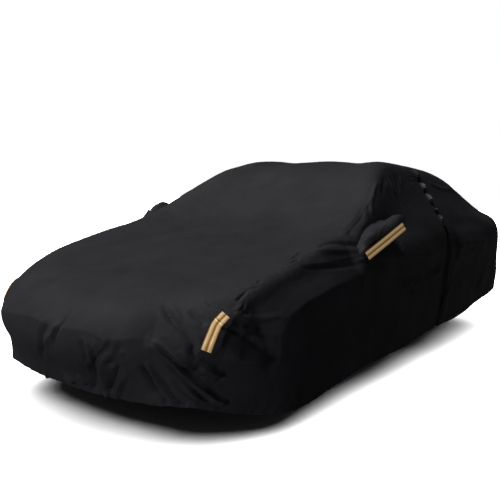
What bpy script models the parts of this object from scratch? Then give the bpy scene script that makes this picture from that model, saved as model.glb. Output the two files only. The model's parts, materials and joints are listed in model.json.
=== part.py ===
"""Fitted cover for a saloon car: sewn cloth panels in their draped shape, open underneath.

Metres, +Z up, front at -Y, +X is the cover's left. The body lines below are measured from a point on
the ground, 0.94 m behind the nose. All is then moved so that the origin lies under the roof, where
the cover rests.
"""
import bpy
import numpy as np
from mathutils import Vector
from mathutils.bvhtree import BVHTree
from mathutils.geometry import delaunay_2d_cdt

# ---- sheet and seams ----
SHEET = 0.002            # cloth thickness
STRIP_SHEET = 0.001      # reflective strip thickness
SEAM_GAP = 0.0003        # between neighbouring pieces
ORIGIN = (0.0, 1.85, 1.408)   # point under the roof, in body line coordinates
CROWN_AT = 0.62          # where the guide between centre line and seam lies
CROWN_POWER = 2.4        # how late the panel drops from its crown
KNOT_POWER = 0.75

# ---- fineness ----
FRONT_ROWS = 80          # fine nodes up the front apron
REAR_ROWS = 80           # fine nodes up the rear apron
STEP_NODES = 32          # fine nodes from one body station to the next
HALF_NODES = 64          # fine nodes from centre line to seam
COARSEST = 16            # nodes a side, largest cell
FINEST = 2               # nodes a side, smallest cell
FLATNESS = 0.0062        # a cell is split where the cloth leaves its flat by more than this
RIM_ORDER = (0.37, 1.0, 0.61)    # the cut edges of neighbours split their quads alike along this
FINE_MARK = 4            # nodes between seam marks near the front
COARSE_MARK = 8          # and elsewhere
FINE_UNTIL = 64          # column where the fine marks end

# ---- body lines along the cover: centre line y, z and seam x, y, z ----
STATIONS = (
    # name            cy      cz     sx     sy      sz
    ("front_hem",    -0.785, 0.175, 0.670, -0.690, 0.205),
    ("front_low",    -0.875, 0.300, 0.725, -0.665, 0.365),
    ("front_nose",   -0.940, 0.415, 0.775, -0.655, 0.500),
    ("bonnet_edge",  -0.885, 0.580, 0.765, -0.565, 0.650),
    ("bonnet_front", -0.465, 0.740, 0.790, -0.235, 0.795),
    ("bonnet_mid",    0.070, 0.865, 0.795,  0.190, 0.900),
    ("cowl",          0.605, 0.980, 0.785,  0.570, 1.010),
    ("screen_mid",    0.990, 1.195, 0.710,  0.955, 1.215),
    ("roof_front",    1.345, 1.375, 0.600,  1.315, 1.355),
    ("roof_mid",      1.850, 1.412, 0.575,  1.900, 1.365),
    ("roof_rear",     2.250, 1.395, 0.578,  2.290, 1.345),
    ("rear_screen",   2.750, 1.265, 0.610,  2.730, 1.245),
    ("boot_front",    3.150, 1.105, 0.660,  3.110, 1.085),
    ("boot_mid",      3.420, 1.065, 0.700,  3.360, 1.020),
    ("boot_edge",     3.680, 1.020, 0.695,  3.570, 0.945),
    ("rear_face",     3.750, 0.620, 0.715,  3.650, 0.615),
    ("rear_hem",      3.660, 0.385, 0.680,  3.570, 0.355),
)
FRONT_CORNER = 3         # station where the seam turns from the apron to the side
REAR_CORNER = 14
ZIP_STATION = 9          # station with the upright seam of the left side

# ---- side lines: y of the station, then x and z of each line from the hem up ----
SIDES = (
    # y       hem x  z       sill x  z       middle x z      belt x  z       glass x z
    (-0.280, (0.850, 0.115), (0.875, 0.275), (0.885, 0.455), (0.870, 0.625), (0.835, 0.725)),
    (0.200,  (0.875, 0.145), (0.915, 0.300), (0.925, 0.500), (0.920, 0.700), (0.865, 0.800)),
    (0.600,  (0.875, 0.175), (0.920, 0.330), (0.930, 0.550), (0.920, 0.770), (0.870, 0.865)),
    (1.000,  (0.880, 0.190), (0.920, 0.360), (0.930, 0.600), (0.920, 0.860), (0.830, 0.990)),
    (1.380,  (0.880, 0.215), (0.920, 0.380), (0.930, 0.620), (0.920, 0.900), (0.760, 1.120)),
    (1.690,  (0.885, 0.237), (0.920, 0.398), (0.930, 0.635), (0.920, 0.910), (0.742, 1.160)),
    (2.180,  (0.895, 0.255), (0.920, 0.420), (0.930, 0.650), (0.920, 0.915), (0.745, 1.150)),
    (2.700,  (0.900, 0.320), (0.915, 0.470), (0.925, 0.660), (0.915, 0.915), (0.765, 1.090)),
    (3.075,  (0.885, 0.345), (0.900, 0.500), (0.905, 0.675), (0.895, 0.900), (0.805, 1.010)),
    (3.305,  (0.845, 0.360), (0.865, 0.505), (0.860, 0.675), (0.855, 0.860), (0.805, 0.975)),
)
LEAN = (0.0, 0.0, 0.05, 0.15, 0.45)   # how far each line leans from its station to the seam's y
SIDE_LINES = len(LEAN)


# ---- folds of the cloth; a trough has a negative depth, a ridge a positive one ----
# Paths lie in a view: "front" gives x, z, "left" and "right" give y, z and "top" gives x, y.
# "free" names the end that keeps its depth, as where a fold runs out over the hem.
FOLDS = (
    # name                 view     path                                               width  depth  free
    ("apron_trough_a",     "front", ((0.07, 0.62), (0.06, 0.52), (0.03, 0.40)),         0.017, -0.012, ""),
    ("apron_ridge_a",      "front", ((0.07, 0.54), (0.00, 0.45), (-0.07, 0.34)),        0.022, 0.012, ""),
    ("apron_trough_b",     "front", ((0.01, 0.51), (-0.06, 0.44), (-0.15, 0.32)),       0.020, -0.012, ""),
    ("apron_trough_c",     "front", ((0.17, 0.51), (0.20, 0.44), (0.21, 0.34)),         0.018, -0.010, ""),
    ("apron_ridge_c",      "front", ((0.21, 0.50), (0.25, 0.42), (0.24, 0.34)),         0.018, 0.009, ""),
    ("crescent_trough",    "front", ((0.37, 0.50), (0.27, 0.41), (0.17, 0.30), (0.12, 0.20)),
     0.026, -0.018, "end"),
    ("crescent_ridge",     "front", ((0.39, 0.48), (0.32, 0.42), (0.24, 0.33)),         0.020, 0.012, ""),
    ("apron_trough_d",     "front", ((0.42, 0.48), (0.36, 0.41), (0.27, 0.30), (0.24, 0.21)),
     0.022, -0.013, "end"),
    ("fan_trough_low",     "front", ((0.48, 0.42), (0.50, 0.31), (0.57, 0.20)),
     0.022, -0.015, "end"),
    ("fan_ridge_low",      "front", ((0.50, 0.42), (0.54, 0.33), (0.61, 0.20)),
     0.018, 0.014, "end"),
    ("fan_trough_mid",     "front", ((0.56, 0.40), (0.60, 0.33), (0.67, 0.20)),
     0.020, -0.012, "end"),
    ("fan_ridge_long",     "front", ((0.51, 0.49), (0.62, 0.41), (0.69, 0.32), (0.75, 0.21)),
     0.020, 0.016, "end"),
    ("fan_trough_high",    "front", ((0.55, 0.48), (0.65, 0.395), (0.72, 0.30)),        0.018, -0.016, ""),
    ("fan_ridge_high",     "front", ((0.53, 0.51), (0.62, 0.45), (0.70, 0.385)),        0.020, 0.014, ""),
    ("bonnet_trough",      "front", ((0.49, 0.66), (0.58, 0.59), (0.67, 0.51), (0.71, 0.43)),
     0.022, -0.018, ""),
    ("bonnet_trough_side", "front", ((0.61, 0.64), (0.66, 0.61), (0.71, 0.58)),         0.018, -0.010, ""),
    ("corner_flap",        "front", ((0.67, 0.395), (0.72, 0.37), (0.77, 0.34)),        0.017, 0.022, ""),
    ("under_flap",         "front", ((0.66, 0.365), (0.71, 0.34), (0.76, 0.31)),        0.018, -0.018, ""),
    ("corner_trough",      "left",  ((-0.64, 0.57), (-0.54, 0.53), (-0.47, 0.48), (-0.37, 0.41)),
     0.026, -0.020, ""),
    ("corner_ridge_top",   "left",  ((-0.58, 0.63), (-0.48, 0.60), (-0.36, 0.60)),      0.024, 0.014, ""),
    ("corner_trough_mid",  "left",  ((-0.53, 0.575), (-0.44, 0.565), (-0.34, 0.55)),    0.017, -0.010, ""),
    ("corner_ridge_low",   "left",  ((-0.66, 0.46), (-0.55, 0.43), (-0.40, 0.39)),      0.032, 0.018, ""),
    ("arch_crest_up",      "left",  ((-0.36, 0.32), (-0.36, 0.48), (-0.30, 0.57)),      0.045, 0.012, ""),
    ("arch_crest_along",   "left",  ((-0.30, 0.57), (-0.10, 0.66), (0.30, 0.66), (0.80, 0.62)),
     0.045, 0.011, ""),
    ("belt_trough_high",   "left",  ((0.10, 0.875), (0.25, 0.885), (0.45, 0.875)),      0.022, -0.012, ""),
    ("belt_ridge",         "left",  ((-0.09, 0.81), (0.13, 0.825), (0.43, 0.84)),       0.030, 0.014, ""),
    ("belt_trough_low",    "left",  ((-0.14, 0.79), (0.11, 0.78), (0.44, 0.79)),        0.030, -0.018, ""),
    ("belt_ridge_low",     "left",  ((-0.02, 0.745), (0.25, 0.735), (0.52, 0.74)),      0.034, 0.010, ""),
    ("pillar_trough",      "left",  ((0.52, 0.97), (0.60, 1.02), (0.72, 1.09)),         0.016, -0.009, ""),
    ("pillar_ridge",       "left",  ((0.78, 1.08), (0.84, 1.13), (0.90, 1.18)),         0.022, 0.010, ""),
    ("window_trough",      "left",  ((1.31, 1.31), (1.28, 1.21), (1.25, 1.09)),         0.026, -0.012, ""),
    ("roof_edge_trough",   "left",  ((1.72, 1.35), (1.77, 1.31), (1.80, 1.25)),         0.024, -0.010, ""),
    ("door_ridge",         "left",  ((0.92, 0.63), (1.25, 0.64), (1.60, 0.66)),         0.040, 0.009, ""),
    ("door_trough",        "left",  ((0.90, 0.76), (1.20, 0.75), (1.55, 0.72)),         0.045, -0.010, ""),
    ("zip_groove",         "left",  ((1.66, 0.22), (1.645, 0.45), (1.66, 0.70), (1.70, 0.93)),
     0.016, -0.014, "start"),
    ("quarter_ridge",      "left",  ((1.78, 0.30), (1.78, 0.55), (1.80, 0.85)),         0.030, 0.012, ""),
    ("seam_pucker_a",      "top",   ((0.74, -0.52), (0.79, -0.48)),                     0.016, -0.009, ""),
    ("seam_pucker_b",      "top",   ((0.74, -0.42), (0.80, -0.38)),                     0.016, -0.009, ""),
    ("seam_crumple_a",     "top",   ((0.72, -0.20), (0.78, -0.12), (0.80, -0.04)),      0.018, -0.010, ""),
    ("seam_crumple_b",     "top",   ((0.72, -0.04), (0.77, 0.02), (0.79, 0.09)),        0.018, -0.009, ""),
    ("screen_soft_a",      "top",   ((0.30, 0.55), (0.10, 0.85), (-0.15, 1.15)),        0.080, -0.007, ""),
    ("screen_soft_b",      "top",   ((-0.35, 0.60), (-0.30, 0.90), (-0.15, 1.25)),      0.070, 0.006, ""),
    ("bonnet_soft_a",      "top",   ((0.15, -0.60), (0.20, -0.20), (0.35, 0.25)),       0.090, 0.006, ""),
    ("bonnet_soft_b",      "top",   ((-0.45, -0.45), (-0.35, 0.00), (-0.30, 0.40)),     0.080, -0.005, ""),
    ("rear_window_soft",   "top",   ((0.20, 2.35), (0.05, 2.75), (0.10, 3.10)),         0.080, -0.006, ""),
    ("boot_soft",          "top",   ((-0.40, 3.10), (-0.10, 3.35), (0.35, 3.40)),       0.060, -0.006, ""),
    ("right_corner_bulge", "front", ((-0.76, 0.62), (-0.75, 0.47)),                     0.090, 0.014, ""),
    ("right_corner_fold",  "right", ((-0.56, 0.50), (-0.42, 0.46), (-0.30, 0.42)),      0.028, -0.012, ""),
    ("right_belt_fold",    "right", ((-0.10, 0.80), (0.20, 0.79), (0.46, 0.80)),        0.032, -0.012, ""),
    ("right_door_fold",    "right", ((1.00, 0.72), (1.40, 0.70), (1.85, 0.74)),         0.045, -0.010, ""),
    ("right_rear_fold",    "right", ((2.10, 0.55), (2.30, 0.70), (2.45, 0.90)),         0.040, -0.010, ""),
)
FADE = 0.3               # share of a path over which a fold comes up from the flat
PATH_POINTS = 25

# ---- elastic hem ----
GATHER_PITCH = 0.085
GATHER_UNEVEN = 0.31     # length over which the pitch wanders
GATHER_HEIGHT = 0.045    # how far the gathers reach up
GATHER_DEPTH = {"front": 0.0045, "rear": 0.0030, "left": 0.0030, "right": 0.0030}

# ---- gathered placket on the upright seam of the left side ----
PLACKET_NODES = 2        # its width in fine nodes
PLACKET_PROUD = 0.006
PLACKET_PITCH = 0.042
PLACKET_PUCKER = 0.0025

# ---- mirror pockets: rings from the sewn edge to the tip ----
POCKET_BASE = (0.68, 0.93, 0.25, 0.092, 19.0)    # centre y, z, half length, half height, tilt in degrees
POCKET_RINGS = (
    # name      x      centre y  z      half y  half z  tilt
    ("body",    0.938, 0.712,  0.978,  0.165,  0.084,  20.0),
    ("nose",    0.972, 0.730,  0.988,  0.110,  0.056,  24.0),
    ("tip",     0.996, 0.742,  0.994,  0.052,  0.026,  27.0),
)
POCKET_FLARE = ((0.94, 0.007), (0.86, 0.030))    # scales of the base outline, lifts from the panel
POCKET_AROUND = 28
POCKET_UP = 9
POCKET_TIP = 0.004       # the last ring closes this far out
HOLE_MARGIN = 1.2        # fine nodes kept clear round a pocket's hole

# ---- reflective strips: centre line in body line coordinates, direction they face, width ----
STRIPS = (
    # name, centre line, then the direction it faces and its width
    ("left_front_strip",   ((0.754, -0.606, 0.623), (0.740, -0.653, 0.584), (0.729, -0.706, 0.473)),
     (0.50, -0.82, 0.28), 0.048),
    ("right_front_strip",  ((-0.735, -0.630, 0.620), (-0.722, -0.680, 0.575), (-0.695, -0.735, 0.465)),
     (-0.45, -0.85, 0.28), 0.048),
    ("left_mirror_strip",  ((0.890, 0.530, 0.852), (0.945, 0.635, 0.922), (0.998, 0.735, 0.990)),
     (0.72, -0.62, -0.30), 0.050),
    ("right_mirror_strip", ((-0.890, 0.530, 0.852), (-0.945, 0.635, 0.922), (-0.998, 0.735, 0.990)),
     (-0.72, -0.62, -0.30), 0.050),
)
STRIP_ALONG = 10
STRIP_ACROSS = 3
CAST = 0.15              # how far outside the cloth a strip's rays start
STRIP_STEP = 0.0001      # a strip is lifted by this until it is clear

MATERIALS = {
    # name                  colour               roughness  metallic
    "black_polyester":     ((0.028, 0.028, 0.032), 0.62, 0.0),
    "reflective_tape":     ((0.86, 0.70, 0.38), 0.38, 0.25),
}


def spline(points, at):
    """Natural cubic through points (n, ..., 3), read at stations 0 to n - 1."""
    count = len(points)
    chord = np.linalg.norm(np.diff(points, axis=0), axis=-1).reshape(count - 1, -1).mean(axis=1)
    step = chord ** KNOT_POWER
    system = np.eye(count)
    right = np.zeros_like(points)
    for i in range(1, count - 1):
        system[i, i - 1:i + 2] = step[i - 1], 2 * (step[i - 1] + step[i]), step[i]
        right[i] = 6 * ((points[i + 1] - points[i]) / step[i] - (points[i] - points[i - 1]) / step[i - 1])
    bend = np.linalg.solve(system, right.reshape(count, -1)).reshape(points.shape)
    first = np.clip(at.astype(int), 0, count - 2)
    shape = (-1,) + (1,) * (points.ndim - 1)
    after = (at - first).reshape(shape)
    before = 1 - after
    square = step[first].reshape(shape) ** 2
    curve = (before ** 3 - before) * bend[first] + (after ** 3 - after) * bend[first + 1]
    return before * points[first] + after * points[first + 1] + curve * square / 6


def body_skin():
    """Fine nodes of the smooth cover: the centre panel's grid and the left side's grid."""
    table = np.array([row[1:] for row in STATIONS])
    centre = np.column_stack([np.zeros(len(table)), table[:, 0], table[:, 1]])
    seam = table[:, 2:5]
    last = len(STATIONS) - 1
    along = np.concatenate([np.linspace(0, FRONT_CORNER, FRONT_ROWS + 1)[:-1],
                            np.linspace(FRONT_CORNER, REAR_CORNER,
                                        (REAR_CORNER - FRONT_CORNER) * STEP_NODES + 1),
                            np.linspace(REAR_CORNER, last, REAR_ROWS + 1)[1:]])
    seam_line = spline(seam, along)
    centre_line = spline(centre, along)
    drop = np.array([CROWN_AT, CROWN_AT ** CROWN_POWER, CROWN_AT ** CROWN_POWER])
    guide = centre_line + (seam_line - centre_line) * drop
    side_first, side_last = FRONT_ROWS, len(along) - 1 - REAR_ROWS
    columns = along[side_first:side_last + 1] - FRONT_CORNER

    # lines of the side, each from the front corner seam to the rear corner seam
    front = spline(seam, np.linspace(0, FRONT_CORNER, SIDE_LINES + 1))
    rear = spline(seam, np.linspace(last, REAR_CORNER, SIDE_LINES + 1))
    lines = np.zeros((len(SIDES) + 2, SIDE_LINES, 3))
    lines[0] = front[:SIDE_LINES]
    lines[-1] = rear[:SIDE_LINES]
    for k, (y, *pairs) in enumerate(SIDES):
        top_y = seam[FRONT_CORNER + 1 + k, 1]
        for row, (x, z) in enumerate(pairs):
            lines[k + 1, row] = x, y + (top_y - y) * LEAN[row], z
    run = spline(lines, columns)
    run = np.concatenate([run, seam_line[side_first:side_last + 1, None],
                          guide[side_first:side_last + 1, None]], axis=1)
    side = spline(run.transpose(1, 0, 2), np.linspace(0, SIDE_LINES, FRONT_ROWS + 1))
    side[:, 0] = seam_line[:FRONT_ROWS + 1]
    side[:, -1] = seam_line[side_last:][::-1]

    # centre panel across, led on each side by the nodes next to the seam
    beyond = np.concatenate([side[:-1, STEP_NODES], run[:, SIDE_LINES - 1],
                             side[:-1, -1 - STEP_NODES][::-1]])
    flip = np.array([-1.0, 1.0, 1.0])
    half = np.stack([beyond, seam_line, guide])
    cross = np.concatenate([half * flip, centre_line[None], half[::-1]])
    across = np.linspace(1, 5, 2 * HALF_NODES + 1)
    panel = spline(cross, across).transpose(1, 0, 2)
    return panel, side


def normals_of(grid):
    """Unit normals of a grid that point away from the inside of the cover."""
    down = np.gradient(grid, axis=0)
    over = np.gradient(grid, axis=1)
    normal = np.cross(down, over)
    normal /= np.linalg.norm(normal, axis=-1, keepdims=True)
    middle = grid.reshape(-1, 3).mean(axis=0) * np.array([0.0, 1.0, 0.5])
    if ((grid - middle) * normal).sum() < 0:
        normal = -normal
    return normal


def shared_normals(centre, left, right):
    """Unit normals of the three grids, averaged where they meet along the seams."""
    result = [normals_of(centre), normals_of(left), normals_of(right)]
    top = result[0]
    last_row, last_column = left.shape[0] - 1, left.shape[1] - 1
    for side, edge in ((result[1], -1), (result[2], 0)):
        joined = np.zeros((len(top), 3))
        joined[:last_row + 1] = side[:, 0]
        joined[last_row:last_row + last_column + 1] = side[last_row]
        joined[last_row + last_column:] = side[:, -1][::-1]
        joined += top[:, edge]
        joined /= np.linalg.norm(joined, axis=-1, keepdims=True)
        top[:, edge] = joined
        side[:, 0] = joined[:last_row + 1]
        side[last_row] = joined[last_row:last_row + last_column + 1]
        side[:, -1] = joined[last_row + last_column:][::-1]
    return result


def nearest_nodes(view, path, grids):
    """Points of the smooth cover that a path drawn in one view lies on."""
    centre, left, right = (grid.reshape(-1, 3) for grid in grids)
    both = np.concatenate([centre, left, right])
    ahead, above = both[both[:, 1] < -0.2], centre[centre[:, 2] > 0.6]
    pool = {"front": ahead, "left": left, "right": right, "top": above}
    axes = {"front": [0, 2], "left": [1, 2], "right": [1, 2], "top": [0, 1]}
    nodes, pair = pool[view], axes[view]
    return np.array([nodes[np.argmin(((nodes[:, pair] - point) ** 2).sum(axis=1))] for point in path])


def fold_lift(nodes, points, width, depth, free):
    """Height of one fold at each node."""
    line = spline(points, np.linspace(0, len(points) - 1, PATH_POINTS))
    lift = np.zeros(len(nodes))
    reach = 3 * width
    near = np.all((nodes > line.min(axis=0) - reach) & (nodes < line.max(axis=0) + reach), axis=1)
    apart = np.linalg.norm(nodes[near, None] - line[None], axis=-1)
    along = np.argmin(apart, axis=1) / (PATH_POINTS - 1)
    start = np.ones_like(along) if free == "start" else np.clip(along / FADE, 0, 1)
    end = np.ones_like(along) if free == "end" else np.clip((1 - along) / FADE, 0, 1)
    fade = np.sin(start * np.pi / 2) * np.sin(end * np.pi / 2)
    lift[near] = depth * fade * np.exp(-(apart.min(axis=1) / width) ** 2)
    return lift


def gathers(grid, hem_row, depth):
    """Uneven ripples of the elastic hem, dying out upwards."""
    run = np.concatenate([[0], np.cumsum(np.linalg.norm(np.diff(grid[hem_row], axis=0), axis=-1))])
    wave = np.sin(2 * np.pi * run / GATHER_PITCH + 1.3 * np.sin(2 * np.pi * run / GATHER_UNEVEN))
    height = np.linalg.norm(grid - grid[hem_row][None], axis=-1)
    ends = np.clip(np.minimum(run, run[-1] - run) / GATHER_PITCH, 0, 1)
    return depth * ends * wave * np.exp(-(height / GATHER_HEIGHT) ** 2)


def draped_skin():
    """Centre, left and right grids with folds and gathers, and their shared normals."""
    centre, left = body_skin()
    right = left * np.array([-1.0, 1.0, 1.0])
    smooth = [centre, left, right]
    normals = shared_normals(*smooth)
    lifts = [np.zeros(grid.shape[:2]) for grid in smooth]
    for name, view, path, width, depth, free in FOLDS:
        points = nearest_nodes(view, np.array(path), smooth)
        for grid, lift in zip(smooth, lifts):
            lift += fold_lift(grid.reshape(-1, 3), points, width, depth, free).reshape(lift.shape)
    lifts[0] += gathers(centre, 0, GATHER_DEPTH["front"]) + gathers(centre, -1, GATHER_DEPTH["rear"])
    lifts[1] += gathers(left, 0, GATHER_DEPTH["left"])
    lifts[2] += gathers(right, 0, GATHER_DEPTH["right"])
    draped = [grid + normal * lift[..., None] for grid, normal, lift in zip(smooth, normals, lifts)]
    return draped, shared_normals(*draped)


def read_grid(grid, at):
    """Values of a grid between its nodes; at holds rows and columns."""
    at = np.asarray(at, dtype=float)
    low = np.clip(np.floor(at).astype(int), 0, np.array(grid.shape[:2]) - 2)
    part = at - low
    i, j = low[:, 0], low[:, 1]
    a, b = part[:, :1], part[:, 1:]
    return ((1 - a) * (1 - b) * grid[i, j] + a * (1 - b) * grid[i + 1, j]
            + (1 - a) * b * grid[i, j + 1] + a * b * grid[i + 1, j + 1])


def cell_corners(grid, rows, columns):
    """Corners of cells that are split until the cloth lies flat enough in each."""
    corners = set()
    marks = []
    for low, high in (rows, columns):
        count = max(1, round((high - low) / COARSEST))
        marks.append(np.round(np.linspace(low, high, 1 + count)).astype(int))
    cells = [(i, m, j, n) for i, m in zip(marks[0], marks[0][1:])
             for j, n in zip(marks[1], marks[1][1:])]
    while cells:
        i, m, j, n = cells.pop()
        corners.update(((i, j), (m, j), (i, n), (m, n)))
        if max(m - i, n - j) <= FINEST:
            continue
        patch = grid[i:m + 1, j:n + 1]
        a = np.linspace(0, 1, m - i + 1)[:, None, None]
        b = np.linspace(0, 1, n - j + 1)[None, :, None]
        flat = ((1 - a) * (1 - b) * patch[0, 0] + a * (1 - b) * patch[-1, 0]
                + (1 - a) * b * patch[0, -1] + a * b * patch[-1, -1])
        if np.linalg.norm(patch - flat, axis=-1).max() > FLATNESS:
            middle_row, middle_column = (i + m) // 2, (j + n) // 2
            row_parts = ((i, middle_row), (middle_row, m)) if m - i > FINEST else ((i, m),)
            column_parts = ((j, middle_column), (middle_column, n)) if n - j > FINEST else ((j, n),)
            cells += [(p, q, r, s) for p, q in row_parts for r, s in column_parts]
    return corners


def inner_nodes(grid, edge, hole):
    """Cell corners strictly inside an edge loop and clear of a hole."""
    rows, columns = zip(*edge)
    low, high = (min(rows), min(columns)), (max(rows), max(columns))
    corners = cell_corners(grid, (low[0], high[0]), (low[1], high[1]))
    nodes = sorted((i, j) for i, j in corners if low[0] < i < high[0] and low[1] < j < high[1])
    if hole is not None:
        nodes = [node for node in nodes if not inside(hole, node)
                 and np.linalg.norm(hole - node, axis=1).min() > HOLE_MARGIN]
    return nodes


def triangulate(edge, inner, hole):
    """Triangles between given nodes inside a convex edge loop and round a hole."""
    points = list(edge) + list(inner)
    lines = [(k, (k + 1) % len(edge)) for k in range(len(edge))]
    if hole is not None:
        first = len(points)
        points += [tuple(node) for node in hole]
        lines += [(first + k, first + (k + 1) % len(hole)) for k in range(len(hole))]
    corners = [Vector((float(i), float(j))) for i, j in points]
    flat, _, faces, _, _, _ = delaunay_2d_cdt(corners, lines, [], 0, 1e-6)
    nodes = np.array([tuple(point) for point in flat])
    faces = np.array([tuple(face) for face in faces])
    if hole is not None:
        faces = faces[[not inside(hole, middle) for middle in nodes[faces].mean(axis=1)]]
    return nodes, faces


def inside(loop, point):
    """Whether a point lies within a closed loop."""
    ahead = np.roll(loop, -1, axis=0)
    crossing = (loop[:, 1] > point[1]) != (ahead[:, 1] > point[1])
    run = ahead[crossing] - loop[crossing]
    at = loop[crossing, 0] + (point[1] - loop[crossing, 1]) / run[:, 1] * run[:, 0]
    return bool((at > point[0]).sum() % 2)


def add_object(name, vertices, faces, material):
    """A Blender object from vertices in body line coordinates."""
    mesh = bpy.data.meshes.new(name)
    moved = np.asarray(vertices) - np.array(ORIGIN)
    mesh.from_pydata(moved.tolist(), [], np.asarray(faces).tolist())
    mesh.materials.append(material)
    mesh.validate()
    solid = bpy.data.objects.new(name, mesh)
    bpy.context.scene.collection.objects.link(solid)
    return solid


def thicken(outer, normals, faces, sheet):
    """Closed body of a sheet: the outer face, the inner face and the cut edges between them."""
    corners = outer[faces]
    area = np.cross(corners[:, 1] - corners[:, 0], corners[:, 2] - corners[:, 0])
    if (area * normals[faces].sum(axis=1)).sum() < 0:
        faces = faces[:, ::-1]
    used = np.unique(faces)
    rank = np.full(len(outer), -1)
    rank[used] = np.arange(len(used))
    faces = rank[faces]
    outer, normals = outer[used], normals[used]
    count = len(outer)
    pairs = {(a, b) for face in faces.tolist() for a, b in zip(face, face[1:] + face[:1])}
    order = outer @ np.array(RIM_ORDER)
    rim = []
    for a, b in sorted(pairs):
        if (b, a) not in pairs and order[a] < order[b]:
            rim += [(b, a, a + count), (b, a + count, b + count)]
        elif (b, a) not in pairs:
            rim += [(b, a, b + count), (a, a + count, b + count)]
    vertices = np.concatenate([outer, outer - normals * sheet])
    return vertices, np.concatenate([faces, faces[:, ::-1] + count, np.array(rim)])


def pulled_in(points, upright, nodes, grid, seams):
    """Points on a seam moved into their own panel by half the gap, square to the seam."""
    moved = points.copy()
    size = np.array(grid.shape[:2]) - 1
    for axis, value, towards in seams:
        on_seam = nodes[:, axis] == value
        here = nodes[on_seam]
        along, into = np.zeros(2), np.zeros(2)
        along[1 - axis], into[axis] = 1, towards
        run = read_grid(grid, np.minimum(here + along, size)) - read_grid(grid, np.maximum(here - along, 0))
        inward = np.cross(upright[on_seam], run)
        inward /= np.linalg.norm(inward, axis=1, keepdims=True)
        inward *= np.sign((inward * (read_grid(grid, here + into) - points[on_seam])).sum(axis=1))[:, None]
        moved[on_seam] += inward * SEAM_GAP / 2
    return moved


def panel_body(grid, normals, edge, seams, hole=None, inner=None):
    """Vertices and faces of one panel."""
    if inner is None:
        inner = inner_nodes(grid, edge, hole)
    nodes, faces = triangulate(edge, inner, hole)
    upright = read_grid(normals, nodes)
    upright /= np.linalg.norm(upright, axis=1, keepdims=True)
    points = pulled_in(read_grid(grid, nodes), upright, nodes, grid, seams)
    return thicken(points, upright, faces, SHEET)


def loop_of(rows, low_marks, high_marks):
    """Closed edge loop of a panel: its row marks, and the column marks of its first and last row."""
    rows, low_marks, high_marks = (list(map(int, marks)) for marks in (rows, low_marks, high_marks))
    return ([(rows[0], j) for j in low_marks[:-1]] + [(i, low_marks[-1]) for i in rows[:-1]]
            + [(rows[-1], j) for j in high_marks[:0:-1]] + [(i, low_marks[0]) for i in rows[:0:-1]])


def ring_of(centre_y, centre_z, half_y, half_z, tilt):
    """Points of a tilted ellipse in y and z."""
    turn = np.linspace(0, 2 * np.pi, POCKET_AROUND, endpoint=False)
    y, z = half_y * np.cos(turn), half_z * np.sin(turn)
    lean = np.radians(tilt)
    return np.column_stack([centre_y + y * np.cos(lean) - z * np.sin(lean),
                            centre_z + y * np.sin(lean) + z * np.cos(lean)])


def locate(grid, targets):
    """Rows and columns of a side grid at given y and z."""
    plane = grid[..., 1:]
    down, over = np.gradient(plane, axis=0), np.gradient(plane, axis=1)
    found = []
    for target in targets:
        i, j = np.unravel_index(np.argmin(((plane - target) ** 2).sum(axis=-1)), plane.shape[:2])
        slope = np.column_stack([down[i, j], over[i, j]])
        found.append(np.array([i, j]) + np.linalg.solve(slope, target - plane[i, j]))
    return np.array(found)


def vertex_normals(points, faces):
    """Area-weighted normals at the vertices."""
    corners = points[faces]
    area = np.cross(corners[:, 1] - corners[:, 0], corners[:, 2] - corners[:, 0])
    total = np.zeros_like(points)
    for k in range(3):
        np.add.at(total, faces[:, k], area)
    return total / np.linalg.norm(total, axis=1, keepdims=True)


def pocket_body(grid, normals, outline, hand):
    """Hollow mirror pocket that flares out of the hole in a side panel; hand is 1 left, -1 right."""
    edge = read_grid(grid, outline)
    upright = read_grid(normals, outline)
    upright /= np.linalg.norm(upright, axis=1, keepdims=True)
    run = np.roll(edge, -1, axis=0) - np.roll(edge, 1, axis=0)
    inward = np.cross(upright, run)
    inward /= np.linalg.norm(inward, axis=1, keepdims=True)
    inward *= np.sign((inward * (edge.mean(axis=0) - edge)).sum())
    edge = edge + inward * SEAM_GAP
    rings = [edge]
    for scale, lift in POCKET_FLARE:
        rings.append(edge.mean(axis=0) + (edge - edge.mean(axis=0)) * scale + upright * lift)
    for name, x, *shape in POCKET_RINGS:
        ring = ring_of(*shape)
        rings.append(np.column_stack([np.full(len(ring), hand * x), ring]))
    levels = spline(np.array(rings), np.linspace(0, len(rings) - 1, POCKET_UP))
    tip = levels[-1].mean(axis=0) + np.array([hand * POCKET_TIP, 0, 0])
    points = np.concatenate([levels.reshape(-1, 3), tip[None]])
    faces = []
    for k in range(POCKET_UP - 1):
        for n in range(POCKET_AROUND):
            m = (n + 1) % POCKET_AROUND
            low, high = k * POCKET_AROUND, (k + 1) * POCKET_AROUND
            faces += [(low + n, low + m, high + m), (low + n, high + m, high + n)]
    last = (POCKET_UP - 1) * POCKET_AROUND
    faces += [(last + n, last + (n + 1) % POCKET_AROUND, len(points) - 1) for n in range(POCKET_AROUND)]
    faces = np.array(faces)
    outward = vertex_normals(points, faces)
    if outward[-1, 0] * hand < 0:
        outward = -outward
    outward[:POCKET_AROUND] = upright
    return thicken(points, outward, faces, SHEET)


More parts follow.
